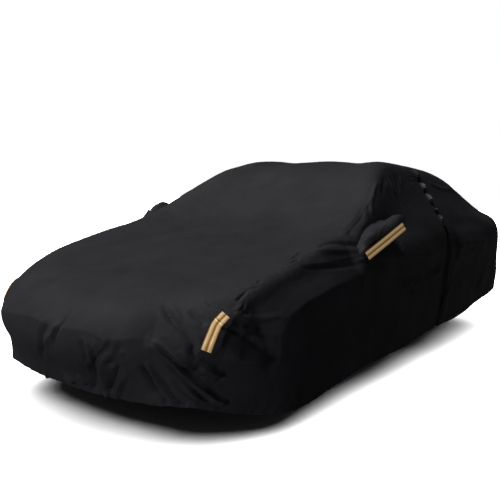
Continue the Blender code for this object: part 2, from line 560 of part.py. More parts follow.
def strip_body(line, towards, width, bodies):
    """Reflective strip laid over the first body, clear of all of them."""
    trees = [BVHTree.FromPolygons(points.tolist(), faces.tolist()) for points, faces in bodies]
    towards = np.array(towards) / np.linalg.norm(towards)
    line = np.array(line)
    at = np.linspace(0, len(line) - 1, STRIP_ALONG + 1)
    middle = np.column_stack([np.interp(at, np.arange(len(line)), line[:, k]) for k in range(3)])
    run = np.gradient(middle, axis=0)
    across = np.cross(towards, run)
    across /= np.linalg.norm(across, axis=1, keepdims=True)
    offsets = np.linspace(-width / 2, width / 2, STRIP_ACROSS + 1)
    plane = middle[:, None] + across[:, None] * offsets[None, :, None]
    height = np.full(plane.shape[:2], np.nan)
    for i in range(plane.shape[0]):
        for j in range(plane.shape[1]):
            spot, _, _, distance = trees[0].ray_cast(Vector(plane[i, j] + towards * CAST), Vector(-towards))
            if spot is not None and distance < 2 * CAST:
                height[i, j] = CAST - distance
    height = np.where(np.isnan(height), np.nanmin(height, axis=1, keepdims=True), height)
    padded = np.pad(height, 1, mode="edge")
    shifts = [padded[i:i + height.shape[0], j:j + height.shape[1]] for i in range(3) for j in range(3)]
    highest = np.pad(np.max(shifts, axis=0), 1, mode="edge")
    shifts = [highest[i:i + height.shape[0], j:j + height.shape[1]] for i in range(3) for j in range(3)]
    height = np.mean(shifts, axis=0)
    faces = []
    for i in range(STRIP_ALONG):
        for j in range(STRIP_ACROSS):
            a = i * (STRIP_ACROSS + 1) + j
            b = a + STRIP_ACROSS + 1
            faces += [(a, b, b + 1), (a, b + 1, a + 1)]
    faces = np.array(faces)
    rise = 0.0
    while True:
        points = (plane + towards * (height + rise)[..., None]).reshape(-1, 3)
        outward = vertex_normals(points, faces)
        outward *= np.sign((outward @ towards).sum())
        body = thicken(points + outward * STRIP_SHEET, outward, faces, STRIP_SHEET)
        tree = BVHTree.FromPolygons(body[0].tolist(), body[1].tolist())
        if not any(tree.overlap(other) for other in trees):
            break
        rise += STRIP_STEP
    return body[0] + towards * SEAM_GAP, body[1]


def principled(name):
    """Material of one kind of cloth."""
    colour, roughness, metallic = MATERIALS[name]
    material = bpy.data.materials.new(name)
    material.use_nodes = True
    shader = material.node_tree.nodes["Principled BSDF"]
    shader.inputs["Base Color"].default_value = (*colour, 1.0)
    shader.inputs["Roughness"].default_value = roughness
    shader.inputs["Metallic"].default_value = metallic
    return material


def build():
    """All pieces of the cover."""
    for leftover in list(bpy.data.objects):
        bpy.data.objects.remove(leftover)
    materials = {name: principled(name) for name in MATERIALS}
    (centre, left, right), (centre_up, left_up, right_up) = draped_skin()
    last, side_rows, side_columns = len(centre) - 1, left.shape[0] - 1, left.shape[1] - 1
    zip_column = (ZIP_STATION - FRONT_CORNER) * STEP_NODES
    after_zip = zip_column + PLACKET_NODES

    # marks that neighbouring panels share along their seams
    up = np.arange(0, side_rows + 1, FINE_MARK)
    front_part = np.arange(0, zip_column, FINE_MARK)
    rear_part = np.append(np.arange(after_zip, side_columns, COARSE_MARK), side_columns)
    middle_part = np.arange(FINE_UNTIL, zip_column + 1, COARSE_MARK)
    seam_columns = np.unique(np.concatenate([front_part[front_part < FINE_UNTIL], middle_part, rear_part]))
    rows = np.unique(np.concatenate([up, side_rows + seam_columns, last - up]))
    hem_front = np.arange(0, 2 * HALF_NODES + 1, FINE_MARK)
    hem_rear = np.arange(0, 2 * HALF_NODES + 1, COARSE_MARK)

    outlines = [locate(grid, ring_of(*POCKET_BASE)) for grid in (left, right)]
    bodies = {}
    bodies["top_panel"] = panel_body(centre, centre_up, loop_of(rows, hem_front, hem_rear),
                                     ((1, 0, 1), (1, 2 * HALF_NODES, -1)))
    low = seam_columns[seam_columns <= zip_column]
    bodies["left_front_side_panel"] = panel_body(
        left, left_up, loop_of(up, low, low),
        ((0, side_rows, -1), (1, 0, 1), (1, zip_column, -1)), outlines[0])
    bodies["left_rear_quarter_panel"] = panel_body(
        left, left_up, loop_of(up, rear_part, rear_part),
        ((0, side_rows, -1), (1, after_zip, 1), (1, side_columns, -1)))
    bodies["right_side_panel"] = panel_body(
        right, right_up, loop_of(up, seam_columns, seam_columns),
        ((0, side_rows, -1), (1, 0, 1), (1, side_columns, -1)), outlines[1])

    # the placket stands proud along its middle and is puckered
    ridge = np.arange(side_rows + 1)
    middle = zip_column + PLACKET_NODES // 2
    run = np.concatenate([[0], np.cumsum(np.linalg.norm(np.diff(left[:, middle], axis=0), axis=-1))])
    proud = PLACKET_PROUD + PLACKET_PUCKER * np.sin(2 * np.pi * run / PLACKET_PITCH)
    gathered = left.copy()
    gathered[:, middle] += left_up[:, middle] * proud[:, None]
    bodies["left_gathered_placket"] = panel_body(
        gathered, left_up, loop_of(up, (zip_column, middle, after_zip), (zip_column, middle, after_zip)),
        ((0, side_rows, -1), (1, zip_column, 1), (1, after_zip, -1)),
        inner=[(int(i), middle) for i in ridge[1:-1]])
    bodies["left_mirror_pocket"] = pocket_body(left, left_up, outlines[0], 1)
    bodies["right_mirror_pocket"] = pocket_body(right, right_up, outlines[1], -1)

    under = {"left_front_strip": ("top_panel", "left_front_side_panel"),
             "right_front_strip": ("top_panel", "right_side_panel"),
             "left_mirror_strip": ("left_mirror_pocket", "left_front_side_panel"),
             "right_mirror_strip": ("right_mirror_pocket", "right_side_panel")}
    for name, line, towards, width in STRIPS:
        bodies[name] = strip_body(line, towards, width, [bodies[other] for other in under[name]])
    for name, (points, faces) in bodies.items():
        kind = "reflective_tape" if name.endswith("strip") else "black_polyester"
        add_object(name, points, faces, materials[kind])


build()
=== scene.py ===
"""Looks of a fitted car cover: black woven polyester, drawn in at the hem by elastic.

Metres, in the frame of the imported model: front at -Y, the cover's left at +X, +Z up, and the origin
under the roof. The body lines are measured from a point on the ground, 0.94 m behind the nose.
"""
import json

import bpy
import numpy as np
from mathutils import Matrix, Vector

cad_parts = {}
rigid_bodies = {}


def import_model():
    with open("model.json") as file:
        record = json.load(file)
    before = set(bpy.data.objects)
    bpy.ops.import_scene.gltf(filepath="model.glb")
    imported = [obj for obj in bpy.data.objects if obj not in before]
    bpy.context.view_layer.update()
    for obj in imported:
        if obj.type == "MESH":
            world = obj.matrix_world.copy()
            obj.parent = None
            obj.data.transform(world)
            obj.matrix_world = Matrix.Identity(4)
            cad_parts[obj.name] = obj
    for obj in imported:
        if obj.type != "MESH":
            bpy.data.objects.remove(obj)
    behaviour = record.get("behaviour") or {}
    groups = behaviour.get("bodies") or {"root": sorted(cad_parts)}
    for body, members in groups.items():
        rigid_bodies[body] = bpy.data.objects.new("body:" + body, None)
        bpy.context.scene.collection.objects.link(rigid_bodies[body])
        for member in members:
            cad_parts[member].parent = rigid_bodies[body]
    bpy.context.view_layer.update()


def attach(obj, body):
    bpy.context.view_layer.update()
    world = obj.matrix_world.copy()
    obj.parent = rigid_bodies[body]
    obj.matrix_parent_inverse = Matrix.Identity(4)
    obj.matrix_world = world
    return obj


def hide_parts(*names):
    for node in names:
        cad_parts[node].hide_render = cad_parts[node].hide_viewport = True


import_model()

# ==== The cut of the cover ==========================================================================
# A long top panel runs from the front hem over the roof to the rear hem, and a panel hangs on each
# side of it. All are cut to the same body lines, so that the seams between them close.
ORIGIN = np.array([0.0, 1.85, 1.408])    # point under the roof, in body line coordinates
CUT_STATIONS = (
    # name            centre line y, z    seam x, y, z
    ("front_hem",    -0.785, 0.175, 0.670, -0.690, 0.205),
    ("front_low",    -0.875, 0.300, 0.725, -0.665, 0.365),
    ("front_nose",   -0.940, 0.415, 0.775, -0.655, 0.500),
    ("bonnet_edge",  -0.885, 0.580, 0.765, -0.565, 0.650),
    ("bonnet_front", -0.465, 0.740, 0.790, -0.235, 0.795),
    ("bonnet_mid",    0.070, 0.865, 0.795,  0.190, 0.900),
    ("cowl",          0.605, 0.980, 0.785,  0.570, 1.010),
    ("screen_mid",    0.990, 1.195, 0.710,  0.955, 1.215),
    ("roof_front",    1.345, 1.375, 0.600,  1.315, 1.355),
    ("roof_mid",      1.850, 1.412, 0.575,  1.900, 1.365),
    ("roof_rear",     2.250, 1.395, 0.578,  2.290, 1.345),
    ("rear_screen",   2.750, 1.265, 0.610,  2.730, 1.245),
    ("boot_front",    3.150, 1.105, 0.660,  3.110, 1.085),
    ("boot_mid",      3.420, 1.065, 0.700,  3.360, 1.020),
    ("boot_edge",     3.680, 1.020, 0.695,  3.570, 0.945),
    ("rear_face",     3.750, 0.620, 0.715,  3.650, 0.615),
    ("rear_hem",      3.660, 0.385, 0.680,  3.570, 0.355),
)
FRONT_CORNER = 3         # station where the seam turns from the apron to the side
REAR_CORNER = 14
CROWN_AT = 0.62          # where the guide between centre line and seam lies
CROWN_POWER = 2.4        # how late the panel drops from its crown
KNOT_POWER = 0.75
SIDE_CUT = (
    # y       hem x  z       sill x  z       middle x z      belt x  z       glass x z
    (-0.280, (0.850, 0.115), (0.875, 0.275), (0.885, 0.455), (0.870, 0.625), (0.835, 0.725)),
    (0.200,  (0.875, 0.145), (0.915, 0.300), (0.925, 0.500), (0.920, 0.700), (0.865, 0.800)),
    (0.600,  (0.875, 0.175), (0.920, 0.330), (0.930, 0.550), (0.920, 0.770), (0.870, 0.865)),
    (1.000,  (0.880, 0.190), (0.920, 0.360), (0.930, 0.600), (0.920, 0.860), (0.830, 0.990)),
    (1.380,  (0.880, 0.215), (0.920, 0.380), (0.930, 0.620), (0.920, 0.900), (0.760, 1.120)),
    (1.690,  (0.885, 0.237), (0.920, 0.398), (0.930, 0.635), (0.920, 0.910), (0.742, 1.160)),
    (2.180,  (0.895, 0.255), (0.920, 0.420), (0.930, 0.650), (0.920, 0.915), (0.745, 1.150)),
    (2.700,  (0.900, 0.320), (0.915, 0.470), (0.925, 0.660), (0.915, 0.915), (0.765, 1.090)),
    (3.075,  (0.885, 0.345), (0.900, 0.500), (0.905, 0.675), (0.895, 0.900), (0.805, 1.010)),
    (3.305,  (0.845, 0.360), (0.865, 0.505), (0.860, 0.675), (0.855, 0.860), (0.805, 0.975)),
)
LEAN = (0.0, 0.0, 0.05, 0.15, 0.45)   # how far each line leans from its station to the seam's y
SIDE_LINES = len(LEAN)
UP_ROWS = 120            # nodes from the hem up to the seam, on the aprons and the sides
STATION_NODES = 48       # nodes from one station to the next, between the corners
CORNER_EASE = 36         # nodes over which the lead of the top panel turns a corner
COLUMN_MARKS = (
    # place across (1 right seam, 2 right guide, 3 centre line, 4 left guide, 5 left seam), nodes up to it
    (1.0, 0), (2.4, 36), (2.75, 56), (3.2, 100), (4.0, 176), (5.0, 250),
)


def spline(points, at):
    """Natural cubic through points (n, ..., 3), read at stations 0 to n - 1."""
    count = len(points)
    chord = np.linalg.norm(np.diff(points, axis=0), axis=-1).reshape(count - 1, -1).mean(axis=1)
    step = chord ** KNOT_POWER
    system = np.eye(count)
    right = np.zeros_like(points)
    for i in range(1, count - 1):
        system[i, i - 1:i + 2] = step[i - 1], 2 * (step[i - 1] + step[i]), step[i]
        right[i] = 6 * ((points[i + 1] - points[i]) / step[i] - (points[i] - points[i - 1]) / step[i - 1])
    bend = np.linalg.solve(system, right.reshape(count, -1)).reshape(points.shape)
    first = np.clip(at.astype(int), 0, count - 2)
    shape = (-1,) + (1,) * (points.ndim - 1)
    after = (at - first).reshape(shape)
    before = 1 - after
    square = step[first].reshape(shape) ** 2
    curve = (before ** 3 - before) * bend[first] + (after ** 3 - after) * bend[first + 1]
    return before * points[first] + after * points[first + 1] + curve * square / 6


def cut_panels():
    """Smooth top panel and left side panel as grids: splines through the stations, then across them."""
    table = np.array([row[1:] for row in CUT_STATIONS])
    centre = np.column_stack([np.zeros(len(table)), table[:, 0], table[:, 1]])
    seam = table[:, 2:5]
    last = len(CUT_STATIONS) - 1
    middle = (REAR_CORNER - FRONT_CORNER) * STATION_NODES
    along = np.concatenate([np.linspace(0, FRONT_CORNER, UP_ROWS + 1)[:-1],
                            np.linspace(FRONT_CORNER, REAR_CORNER, middle + 1),
                            np.linspace(REAR_CORNER, last, UP_ROWS + 1)[1:]])
    seam_line = spline(seam, along)
    centre_line = spline(centre, along)
    drop = np.array([CROWN_AT, CROWN_AT ** CROWN_POWER, CROWN_AT ** CROWN_POWER])
    guide = centre_line + (seam_line - centre_line) * drop
    on_side = slice(UP_ROWS, UP_ROWS + middle + 1)
    columns = along[on_side] - FRONT_CORNER

    # lines of the side, each from the front corner seam to the rear corner seam
    front = spline(seam, np.linspace(0, FRONT_CORNER, SIDE_LINES + 1))
    rear = spline(seam, np.linspace(last, REAR_CORNER, SIDE_LINES + 1))
    lines = np.zeros((len(SIDE_CUT) + 2, SIDE_LINES, 3))
    lines[0] = front[:SIDE_LINES]
    lines[-1] = rear[:SIDE_LINES]
    for k, (y, *pairs) in enumerate(SIDE_CUT):
        top_y = seam[FRONT_CORNER + 1 + k, 1]
        for row, (x, z) in enumerate(pairs):
            lines[k + 1, row] = x, y + (top_y - y) * LEAN[row], z
    run = spline(lines, columns)
    run = np.concatenate([run, seam_line[on_side, None], guide[on_side, None]], axis=1)
    side = spline(run.transpose(1, 0, 2), np.linspace(0, SIDE_LINES, UP_ROWS + 1))
    side[:, 0] = seam_line[:UP_ROWS + 1]
    side[:, -1] = seam_line[UP_ROWS + middle:][::-1]

    # top panel across, led on each side by the nodes next to the seam
    beyond = np.concatenate([side[:-1, STATION_NODES], run[:, SIDE_LINES - 1],
                             side[:-1, -1 - STATION_NODES][::-1]])
    for corner in (UP_ROWS, UP_ROWS + middle):
        low, high = corner - CORNER_EASE, corner + CORNER_EASE
        beyond[low:high + 1] = np.linspace(beyond[low], beyond[high], high - low + 1)
    flip = np.array([-1.0, 1.0, 1.0])
    half = np.stack([beyond, seam_line, guide])
    cross = np.concatenate([half * flip, centre_line[None], half[::-1]])
    place, count = np.transpose(COLUMN_MARKS)
    across = np.interp(np.arange(count[-1] + 1), count, place)
    return spline(cross, across).transpose(1, 0, 2), side


def outward_normals(grid):
    """Unit normals of a grid that point away from the inside of the cover."""
    normal = np.cross(np.gradient(grid, axis=0), np.gradient(grid, axis=1))
    normal /= np.linalg.norm(normal, axis=-1, keepdims=True)
    inside = grid.reshape(-1, 3).mean(axis=0) * np.array([0.0, 1.0, 0.5])    # middle plane, half height
    return normal * np.sign(((grid - inside) * normal).sum())


def seam_normals(top, left, right):
    """Normals of the three grids, averaged where they are sewn together."""
    result = [outward_normals(top), outward_normals(left), outward_normals(right)]
    panel = result[0]
    rows, columns = left.shape[0] - 1, left.shape[1] - 1
    for side, edge in ((result[1], -1), (result[2], 0)):
        joined = panel[:, edge].copy()
        joined[:rows + 1] += side[:, 0]
        joined[rows:rows + columns + 1] += side[rows]
        joined[rows + columns:] += side[:, -1][::-1]
        joined /= np.linalg.norm(joined, axis=-1, keepdims=True)
        panel[:, edge] = joined
        side[:, 0] = joined[:rows + 1]
        side[rows] = joined[rows:rows + columns + 1]
        side[:, -1] = joined[rows + columns:][::-1]
    return result


top_cut, left_cut = cut_panels()
right_cut = left_cut * np.array([-1.0, 1.0, 1.0])
cut = [top_cut, left_cut, right_cut]
cut_normals = seam_normals(*cut)

# ==== The folds =====================================================================================
# The cloth is cut a little large, so it pulls into folds where it turns a corner, hangs in fans
# towards the hem, and puckers along its seams. Troughs have a negative depth, ridges a positive one.
# Paths lie in a view: "front" gives x, z, "left" and "right" give y, z, "top" gives x, y and "corner",
# for the left front corner, gives x + y, z. A path's points go to the nearest nodes of the smooth cover.
FOLDS = (
    # name, view, path, then width, depth, roundness of the crest and the end that keeps its depth
    ("crescent_trough", "front", ((0.37, 0.50), (0.27, 0.41), (0.17, 0.30), (0.12, 0.20)),
     0.026, -0.008, 1.6, "end"),
    ("apron_trough_d", "front", ((0.42, 0.48), (0.36, 0.41), (0.27, 0.30), (0.24, 0.21)),
     0.022, -0.006, 1.6, "end"),
    ("fan_trough_low", "front", ((0.48, 0.42), (0.50, 0.31), (0.57, 0.20)), 0.022, -0.006, 1.6, "end"),
    ("corner_ridge_top", "left", ((-0.58, 0.63), (-0.48, 0.60), (-0.36, 0.60)), 0.024, 0.009, 1.6, ""),
    ("corner_ridge_low", "left", ((-0.66, 0.46), (-0.55, 0.43), (-0.40, 0.39)), 0.032, 0.012, 1.6, ""),
    ("window_trough", "left", ((1.31, 1.31), (1.28, 1.21), (1.25, 1.09)), 0.026, -0.007, 1.6, ""),
    ("roof_edge_trough", "left", ((1.72, 1.35), (1.77, 1.31), (1.80, 1.25)), 0.024, -0.008, 1.6, ""),
    ("door_ridge", "left", ((0.92, 0.63), (1.25, 0.64), (1.60, 0.66)), 0.040, 0.006, 1.6, ""),
    ("door_trough", "left", ((0.90, 0.76), (1.20, 0.75), (1.55, 0.72)), 0.045, -0.006, 1.6, ""),
    ("quarter_ridge", "left", ((1.78, 0.30), (1.78, 0.55), (1.80, 0.85)), 0.030, 0.006, 1.6, ""),
    ("screen_soft_a", "top", ((0.30, 0.55), (0.10, 0.85), (-0.15, 1.15)), 0.080, -0.005, 1.6, ""),
    ("screen_soft_b", "top", ((-0.35, 0.60), (-0.30, 0.90), (-0.15, 1.25)), 0.070, 0.004, 1.6, ""),
    ("bonnet_soft_a", "top", ((0.15, -0.60), (0.20, -0.20), (0.35, 0.25)), 0.090, 0.004, 1.6, ""),
    ("bonnet_soft_b", "top", ((-0.45, -0.45), (-0.35, 0.00), (-0.30, 0.40)), 0.080, -0.004, 1.6, ""),
    ("rear_window_soft", "top", ((0.20, 2.35), (0.05, 2.75), (0.10, 3.10)), 0.080, -0.006, 1.6, ""),
    ("boot_soft", "top", ((-0.40, 3.10), (-0.10, 3.35), (0.35, 3.40)), 0.060, -0.006, 1.6, ""),
    ("right_corner_bulge", "front", ((-0.76, 0.62), (-0.75, 0.47)), 0.090, 0.012, 1.6, ""),
    ("right_corner_fold", "right", ((-0.56, 0.50), (-0.42, 0.46), (-0.30, 0.42)), 0.028, -0.012, 1.6, ""),
    ("right_belt_fold", "right", ((-0.10, 0.80), (0.20, 0.79), (0.46, 0.80)), 0.032, -0.012, 1.6, ""),
    ("right_door_fold", "right", ((1.00, 0.72), (1.40, 0.70), (1.85, 0.74)), 0.045, -0.010, 1.6, ""),
    ("right_rear_fold", "right", ((2.10, 0.55), (2.30, 0.70), (2.45, 0.90)), 0.040, -0.010, 1.6, ""),
    ("nose_crest", "front",
     ((-0.700, 0.470), (-0.526, 0.492), (-0.269, 0.512), (-0.149, 0.518), (-0.030, 0.508), (0.074, 0.503),
      (0.164, 0.506), (0.224, 0.509), (0.299, 0.495), (0.375, 0.494), (0.451, 0.506), (0.525, 0.511)),
     0.120, 0.036, 1.0, ""),
    ("fan_shelf", "corner",
     ((-0.344, 0.509), (-0.299, 0.505), (-0.256, 0.495), (-0.188, 0.464), (-0.124, 0.431),
      (-0.076, 0.407), (-0.012, 0.395)), 0.032, 0.012, 1.0, ""),
    ("pinch_a", "front",
     ((0.058, 0.589), (0.074, 0.553), (0.074, 0.515), (0.045, 0.476), (0.030, 0.444), (0.015, 0.409)),
     0.009, -0.012, 1.0, ""),
    ("pinch_a_lower", "front",
     ((0.015, 0.521), (-0.030, 0.489), (-0.060, 0.457), (-0.075, 0.414), (-0.118, 0.361),
      (-0.198, 0.290)), 0.015, -0.013, 1.1, ""),
    ("lit_a", "front",
     ((0.044, 0.527), (0.030, 0.482), (-0.015, 0.444), (-0.045, 0.377)), 0.012, 0.011, 1.0, ""),
    ("pinch_b", "front", ((0.195, 0.469), (0.210, 0.426), (0.207, 0.369)), 0.014, -0.011, 1.1, ""),
    ("lit_b", "front",
     ((0.209, 0.495), (0.240, 0.459), (0.239, 0.398), (0.204, 0.334)), 0.011, 0.009, 1.0, ""),
    ("pinch_b_right", "front", ((0.254, 0.504), (0.300, 0.469), (0.300, 0.444)), 0.014, -0.005, 1.6, ""),
    ("crescent_pinch", "front",
     ((0.360, 0.480), (0.316, 0.445), (0.269, 0.405), (0.220, 0.348), (0.184, 0.285), (0.122, 0.203)),
     0.015, -0.016, 1.0, "end"),
    ("crescent_lip", "front",
     ((0.345, 0.491), (0.315, 0.464), (0.285, 0.431), (0.253, 0.390)), 0.010, 0.009, 1.0, ""),
    ("crescent_patch", "front", ((0.346, 0.447), (0.315, 0.422), (0.298, 0.398)), 0.016, 0.008, 1.5, ""),
    ("crescent_hook", "front",
     ((0.406, 0.483), (0.391, 0.457), (0.374, 0.417), (0.326, 0.381), (0.296, 0.379)),
     0.012, -0.012, 1.0, ""),
    ("crescent_hook_lit", "front",
     ((0.406, 0.464), (0.391, 0.439), (0.356, 0.393), (0.318, 0.336)), 0.010, 0.009, 1.0, ""),
    ("apron_gully", "front",
     ((0.387, 0.404), (0.347, 0.343), (0.294, 0.280), (0.230, 0.214)), 0.018, -0.017, 1.1, "end"),
    ("apron_gully_lit", "front",
     ((0.358, 0.331), (0.303, 0.256), (0.240, 0.189)), 0.014, 0.012, 1.0, "end"),
    ("fan_one_lit", "corner",
     ((-0.333, 0.491), (-0.277, 0.470), (-0.223, 0.440), (-0.160, 0.406), (-0.098, 0.355),
      (-0.036, 0.316), (0.020, 0.284), (0.099, 0.243), (0.150, 0.220)), 0.012, 0.018, 1.0, "end"),
    ("fan_one_dark", "corner",
     ((-0.307, 0.468), (-0.239, 0.434), (-0.176, 0.396), (-0.113, 0.349), (-0.066, 0.309),
      (-0.013, 0.278), (0.059, 0.241)), 0.010, -0.015, 1.1, "end"),
    ("fan_two_dark", "corner",
     ((-0.287, 0.493), (-0.218, 0.461), (-0.168, 0.426), (-0.098, 0.388), (-0.042, 0.361),
      (0.028, 0.331)), 0.014, -0.018, 1.1, ""),
    ("fan_two_lit", "corner",
     ((-0.299, 0.505), (-0.256, 0.495), (-0.188, 0.464), (-0.124, 0.431), (-0.076, 0.407),
      (-0.025, 0.397)), 0.011, 0.014, 1.0, ""),
    ("fan_crinkle", "corner",
     ((-0.251, 0.514), (-0.207, 0.504), (-0.167, 0.483), (-0.124, 0.475)), 0.008, -0.005, 1.4, ""),
    ("fan_three_lit", "front",
     ((0.498, 0.418), (0.509, 0.384), (0.520, 0.339), (0.530, 0.295), (0.558, 0.255), (0.595, 0.224)),
     0.013, 0.016, 1.0, "end"),
    ("fan_three_dark", "front",
     ((0.484, 0.403), (0.490, 0.356), (0.490, 0.303), (0.504, 0.267), (0.543, 0.233)),
     0.016, -0.018, 1.0, "end"),
    ("fan_four_lit", "corner",
     ((-0.212, 0.350), (-0.164, 0.305), (-0.109, 0.269), (-0.034, 0.236)), 0.014, 0.013, 1.0, "end"),
    ("fan_four_dark", "corner",
     ((-0.238, 0.343), (-0.190, 0.292), (-0.139, 0.251), (-0.090, 0.231)), 0.011, -0.008, 1.1, "end"),
    ("hem_wedge", "front", ((0.548, 0.249), (0.507, 0.217), (0.463, 0.206)), 0.020, 0.014, 1.2, "end"),
    ("hem_bump_one", "front",
     ((-0.208, 0.252), (-0.244, 0.214), (-0.277, 0.175)), 0.014, 0.010, 1.1, "end"),
    ("hem_bump_two", "front", ((-0.069, 0.232), (-0.027, 0.222), (0.000, 0.208)), 0.018, 0.018, 1.1, ""),
    ("hem_bump_three", "front", ((0.056, 0.265), (0.069, 0.246), (0.096, 0.222)), 0.024, 0.018, 1.2, ""),
    ("hem_bump_four", "front", ((0.176, 0.203), (0.188, 0.189), (0.215, 0.194)), 0.014, 0.015, 1.1, ""),
    ("bonnet_gully", "corner",
     ((-0.244, 0.653), (-0.210, 0.620), (-0.179, 0.592), (-0.124, 0.557), (-0.090, 0.532),
      (-0.056, 0.501), (-0.053, 0.467), (-0.024, 0.431)), 0.015, -0.020, 1.0, ""),
    ("bonnet_gully_lit", "corner",
     ((-0.212, 0.645), (-0.161, 0.619), (-0.123, 0.585)), 0.014, 0.005, 1.4, ""),
    ("bonnet_dent", "corner",
     ((-0.079, 0.635), (-0.038, 0.612), (-0.005, 0.600), (0.024, 0.578)), 0.014, -0.009, 1.5, ""),
    ("bonnet_thin", "corner",
     ((0.025, 0.671), (0.068, 0.657), (0.114, 0.648), (0.168, 0.627)), 0.008, -0.007, 1.3, ""),
    ("flap_lit", "corner",
     ((-0.027, 0.393), (0.039, 0.384), (0.090, 0.358), (0.136, 0.339)), 0.022, 0.020, 1.2, ""),
    ("flap_dark", "corner",
     ((-0.015, 0.360), (0.050, 0.343), (0.098, 0.333), (0.152, 0.332)), 0.013, -0.009, 1.1, ""),
    ("under_strip", "corner",
     ((-0.026, 0.462), (0.018, 0.429), (0.078, 0.402), (0.130, 0.371)), 0.018, -0.006, 1.4, ""),
    ("strip_shadow", "corner",
     ((0.119, 0.568), (0.147, 0.569), (0.205, 0.549), (0.261, 0.532)), 0.009, -0.012, 1.2, ""),
    ("strip_bulge_low", "corner",
     ((0.135, 0.467), (0.202, 0.441), (0.262, 0.423), (0.359, 0.411), (0.474, 0.392)),
     0.060, 0.026, 1.0, ""),
    ("corner_gully", "corner",
     ((0.246, 0.527), (0.290, 0.509), (0.350, 0.478), (0.397, 0.460)), 0.013, -0.007, 1.1, ""),
    ("corner_roll", "corner",
     ((0.246, 0.429), (0.325, 0.408), (0.424, 0.399), (0.490, 0.383)), 0.014, 0.004, 1.4, ""),
    ("ladder_top_dark", "corner", ((0.236, 0.633), (0.299, 0.619)), 0.009, -0.006, 1.4, ""),
    ("ladder_one_lit", "corner",
     ((0.209, 0.622), (0.269, 0.602), (0.335, 0.588), (0.427, 0.587), (0.538, 0.593)),
     0.014, 0.011, 1.0, ""),
    ("ladder_one_dark", "corner",
     ((0.279, 0.589), (0.351, 0.575), (0.430, 0.565), (0.510, 0.558)), 0.012, -0.006, 1.1, ""),
    ("ladder_two_lit", "corner", ((0.226, 0.578), (0.291, 0.554), (0.368, 0.547)), 0.014, 0.009, 1.0, ""),
    ("ladder_two_dark", "corner",
     ((0.276, 0.537), (0.368, 0.531), (0.415, 0.535), (0.543, 0.535)), 0.012, -0.008, 1.0, ""),
    ("ladder_three_lit", "corner", ((0.321, 0.518), (0.415, 0.500), (0.496, 0.496)), 0.016, 0.007, 1.6, ""),
    ("pucker_y", "corner",
     ((0.187, 0.635), (0.221, 0.643), (0.248, 0.656), (0.268, 0.668)), 0.006, 0.005, 1.2, ""),
    ("pucker_y_dark", "corner",
     ((0.183, 0.630), (0.227, 0.639), (0.257, 0.657), (0.267, 0.673)), 0.006, -0.006, 1.2, ""),
    ("seam_jag_a", "corner",
     ((0.222, 0.670), (0.239, 0.682), (0.267, 0.699), (0.298, 0.714)), 0.006, -0.006, 1.2, ""),
    ("seam_jag_b", "corner", ((0.298, 0.714), (0.346, 0.723), (0.366, 0.719)), 0.007, -0.006, 1.3, ""),
    ("seam_jag_c", "top", ((0.772, -0.406), (0.773, -0.395), (0.776, -0.373)), 0.008, -0.005, 1.4, ""),
    ("crumple_dark", "top",
     ((0.791, -0.222), (0.794, -0.181), (0.796, -0.114), (0.804, -0.073)), 0.007, -0.008, 1.3, ""),
    ("crumple_lit", "top",
     ((0.716, -0.095), (0.750, -0.108), (0.750, -0.040), (0.741, 0.011)), 0.008, 0.006, 1.3, ""),
    ("crumple_lit_b", "top", ((0.791, -0.222), (0.807, -0.179), (0.819, -0.139)), 0.009, 0.005, 1.4, ""),
    ("belt_one_dark", "left",
     ((0.111, 0.888), (0.164, 0.894), (0.266, 0.902), (0.364, 0.887), (0.474, 0.875)),
     0.012, -0.008, 1.1, ""),
    ("belt_one_lit", "left",
     ((0.019, 0.860), (0.129, 0.868), (0.305, 0.860), (0.452, 0.845)), 0.014, 0.006, 1.5, ""),
    ("belt_two_lit", "left",
     ((-0.091, 0.804), (0.029, 0.810), (0.168, 0.817), (0.306, 0.821), (0.454, 0.824)),
     0.014, 0.005, 1.1, ""),
    ("belt_two_dark", "left",
     ((-0.133, 0.791), (-0.018, 0.786), (0.109, 0.778), (0.258, 0.778), (0.408, 0.782), (0.570, 0.779)),
     0.011, -0.006, 1.2, ""),
    ("belt_edge", "left",
     ((0.332, 0.793), (0.456, 0.801), (0.607, 0.799), (0.857, 0.797), (1.176, 0.792), (1.550, 0.767)),
     0.090, 0.040, 1.0, ""),
    ("wing_edge", "left",
     ((-0.438, 0.531), (-0.376, 0.560), (-0.287, 0.603), (-0.202, 0.633), (-0.114, 0.658), (0.020, 0.686),
      (0.198, 0.708), (0.435, 0.752)), 0.130, 0.038, 1.0, ""),
    ("belt_edge_dark", "left",
     ((0.520, 0.781), (0.745, 0.760), (1.056, 0.750), (1.406, 0.728), (1.683, 0.719)),
     0.022, -0.005, 1.4, ""),
    ("mirror_foot_lit", "left", ((0.893, 0.870), (0.882, 0.837), (0.819, 0.813)), 0.012, 0.013, 1.1, ""),
    ("mirror_foot_dark", "left", ((0.506, 0.805), (0.570, 0.785), (0.695, 0.793)), 0.016, -0.006, 1.6, ""),
    ("door_crease", "left",
     ((0.922, 0.628), (1.095, 0.625), (1.309, 0.617), (1.477, 0.642), (1.649, 0.667)),
     0.022, 0.024, 1.0, ""),
    ("door_crease_dark", "left", ((1.058, 0.605), (1.203, 0.596), (1.332, 0.586)), 0.018, -0.005, 1.6, ""),
    ("arch_edge", "left",
     ((-0.344, 0.353), (-0.342, 0.426), (-0.353, 0.488), (-0.340, 0.532), (-0.300, 0.581),
      (-0.245, 0.614), (-0.173, 0.648), (-0.099, 0.661), (0.125, 0.637), (0.611, 0.584), (1.448, 0.483)),
     0.036, 0.006, 1.1, ""),
    ("pillar_pinch", "left",
     ((0.809, 1.139), (0.697, 1.078), (0.583, 1.015), (0.489, 0.974), (0.397, 0.933)),
     0.020, -0.012, 1.1, ""),
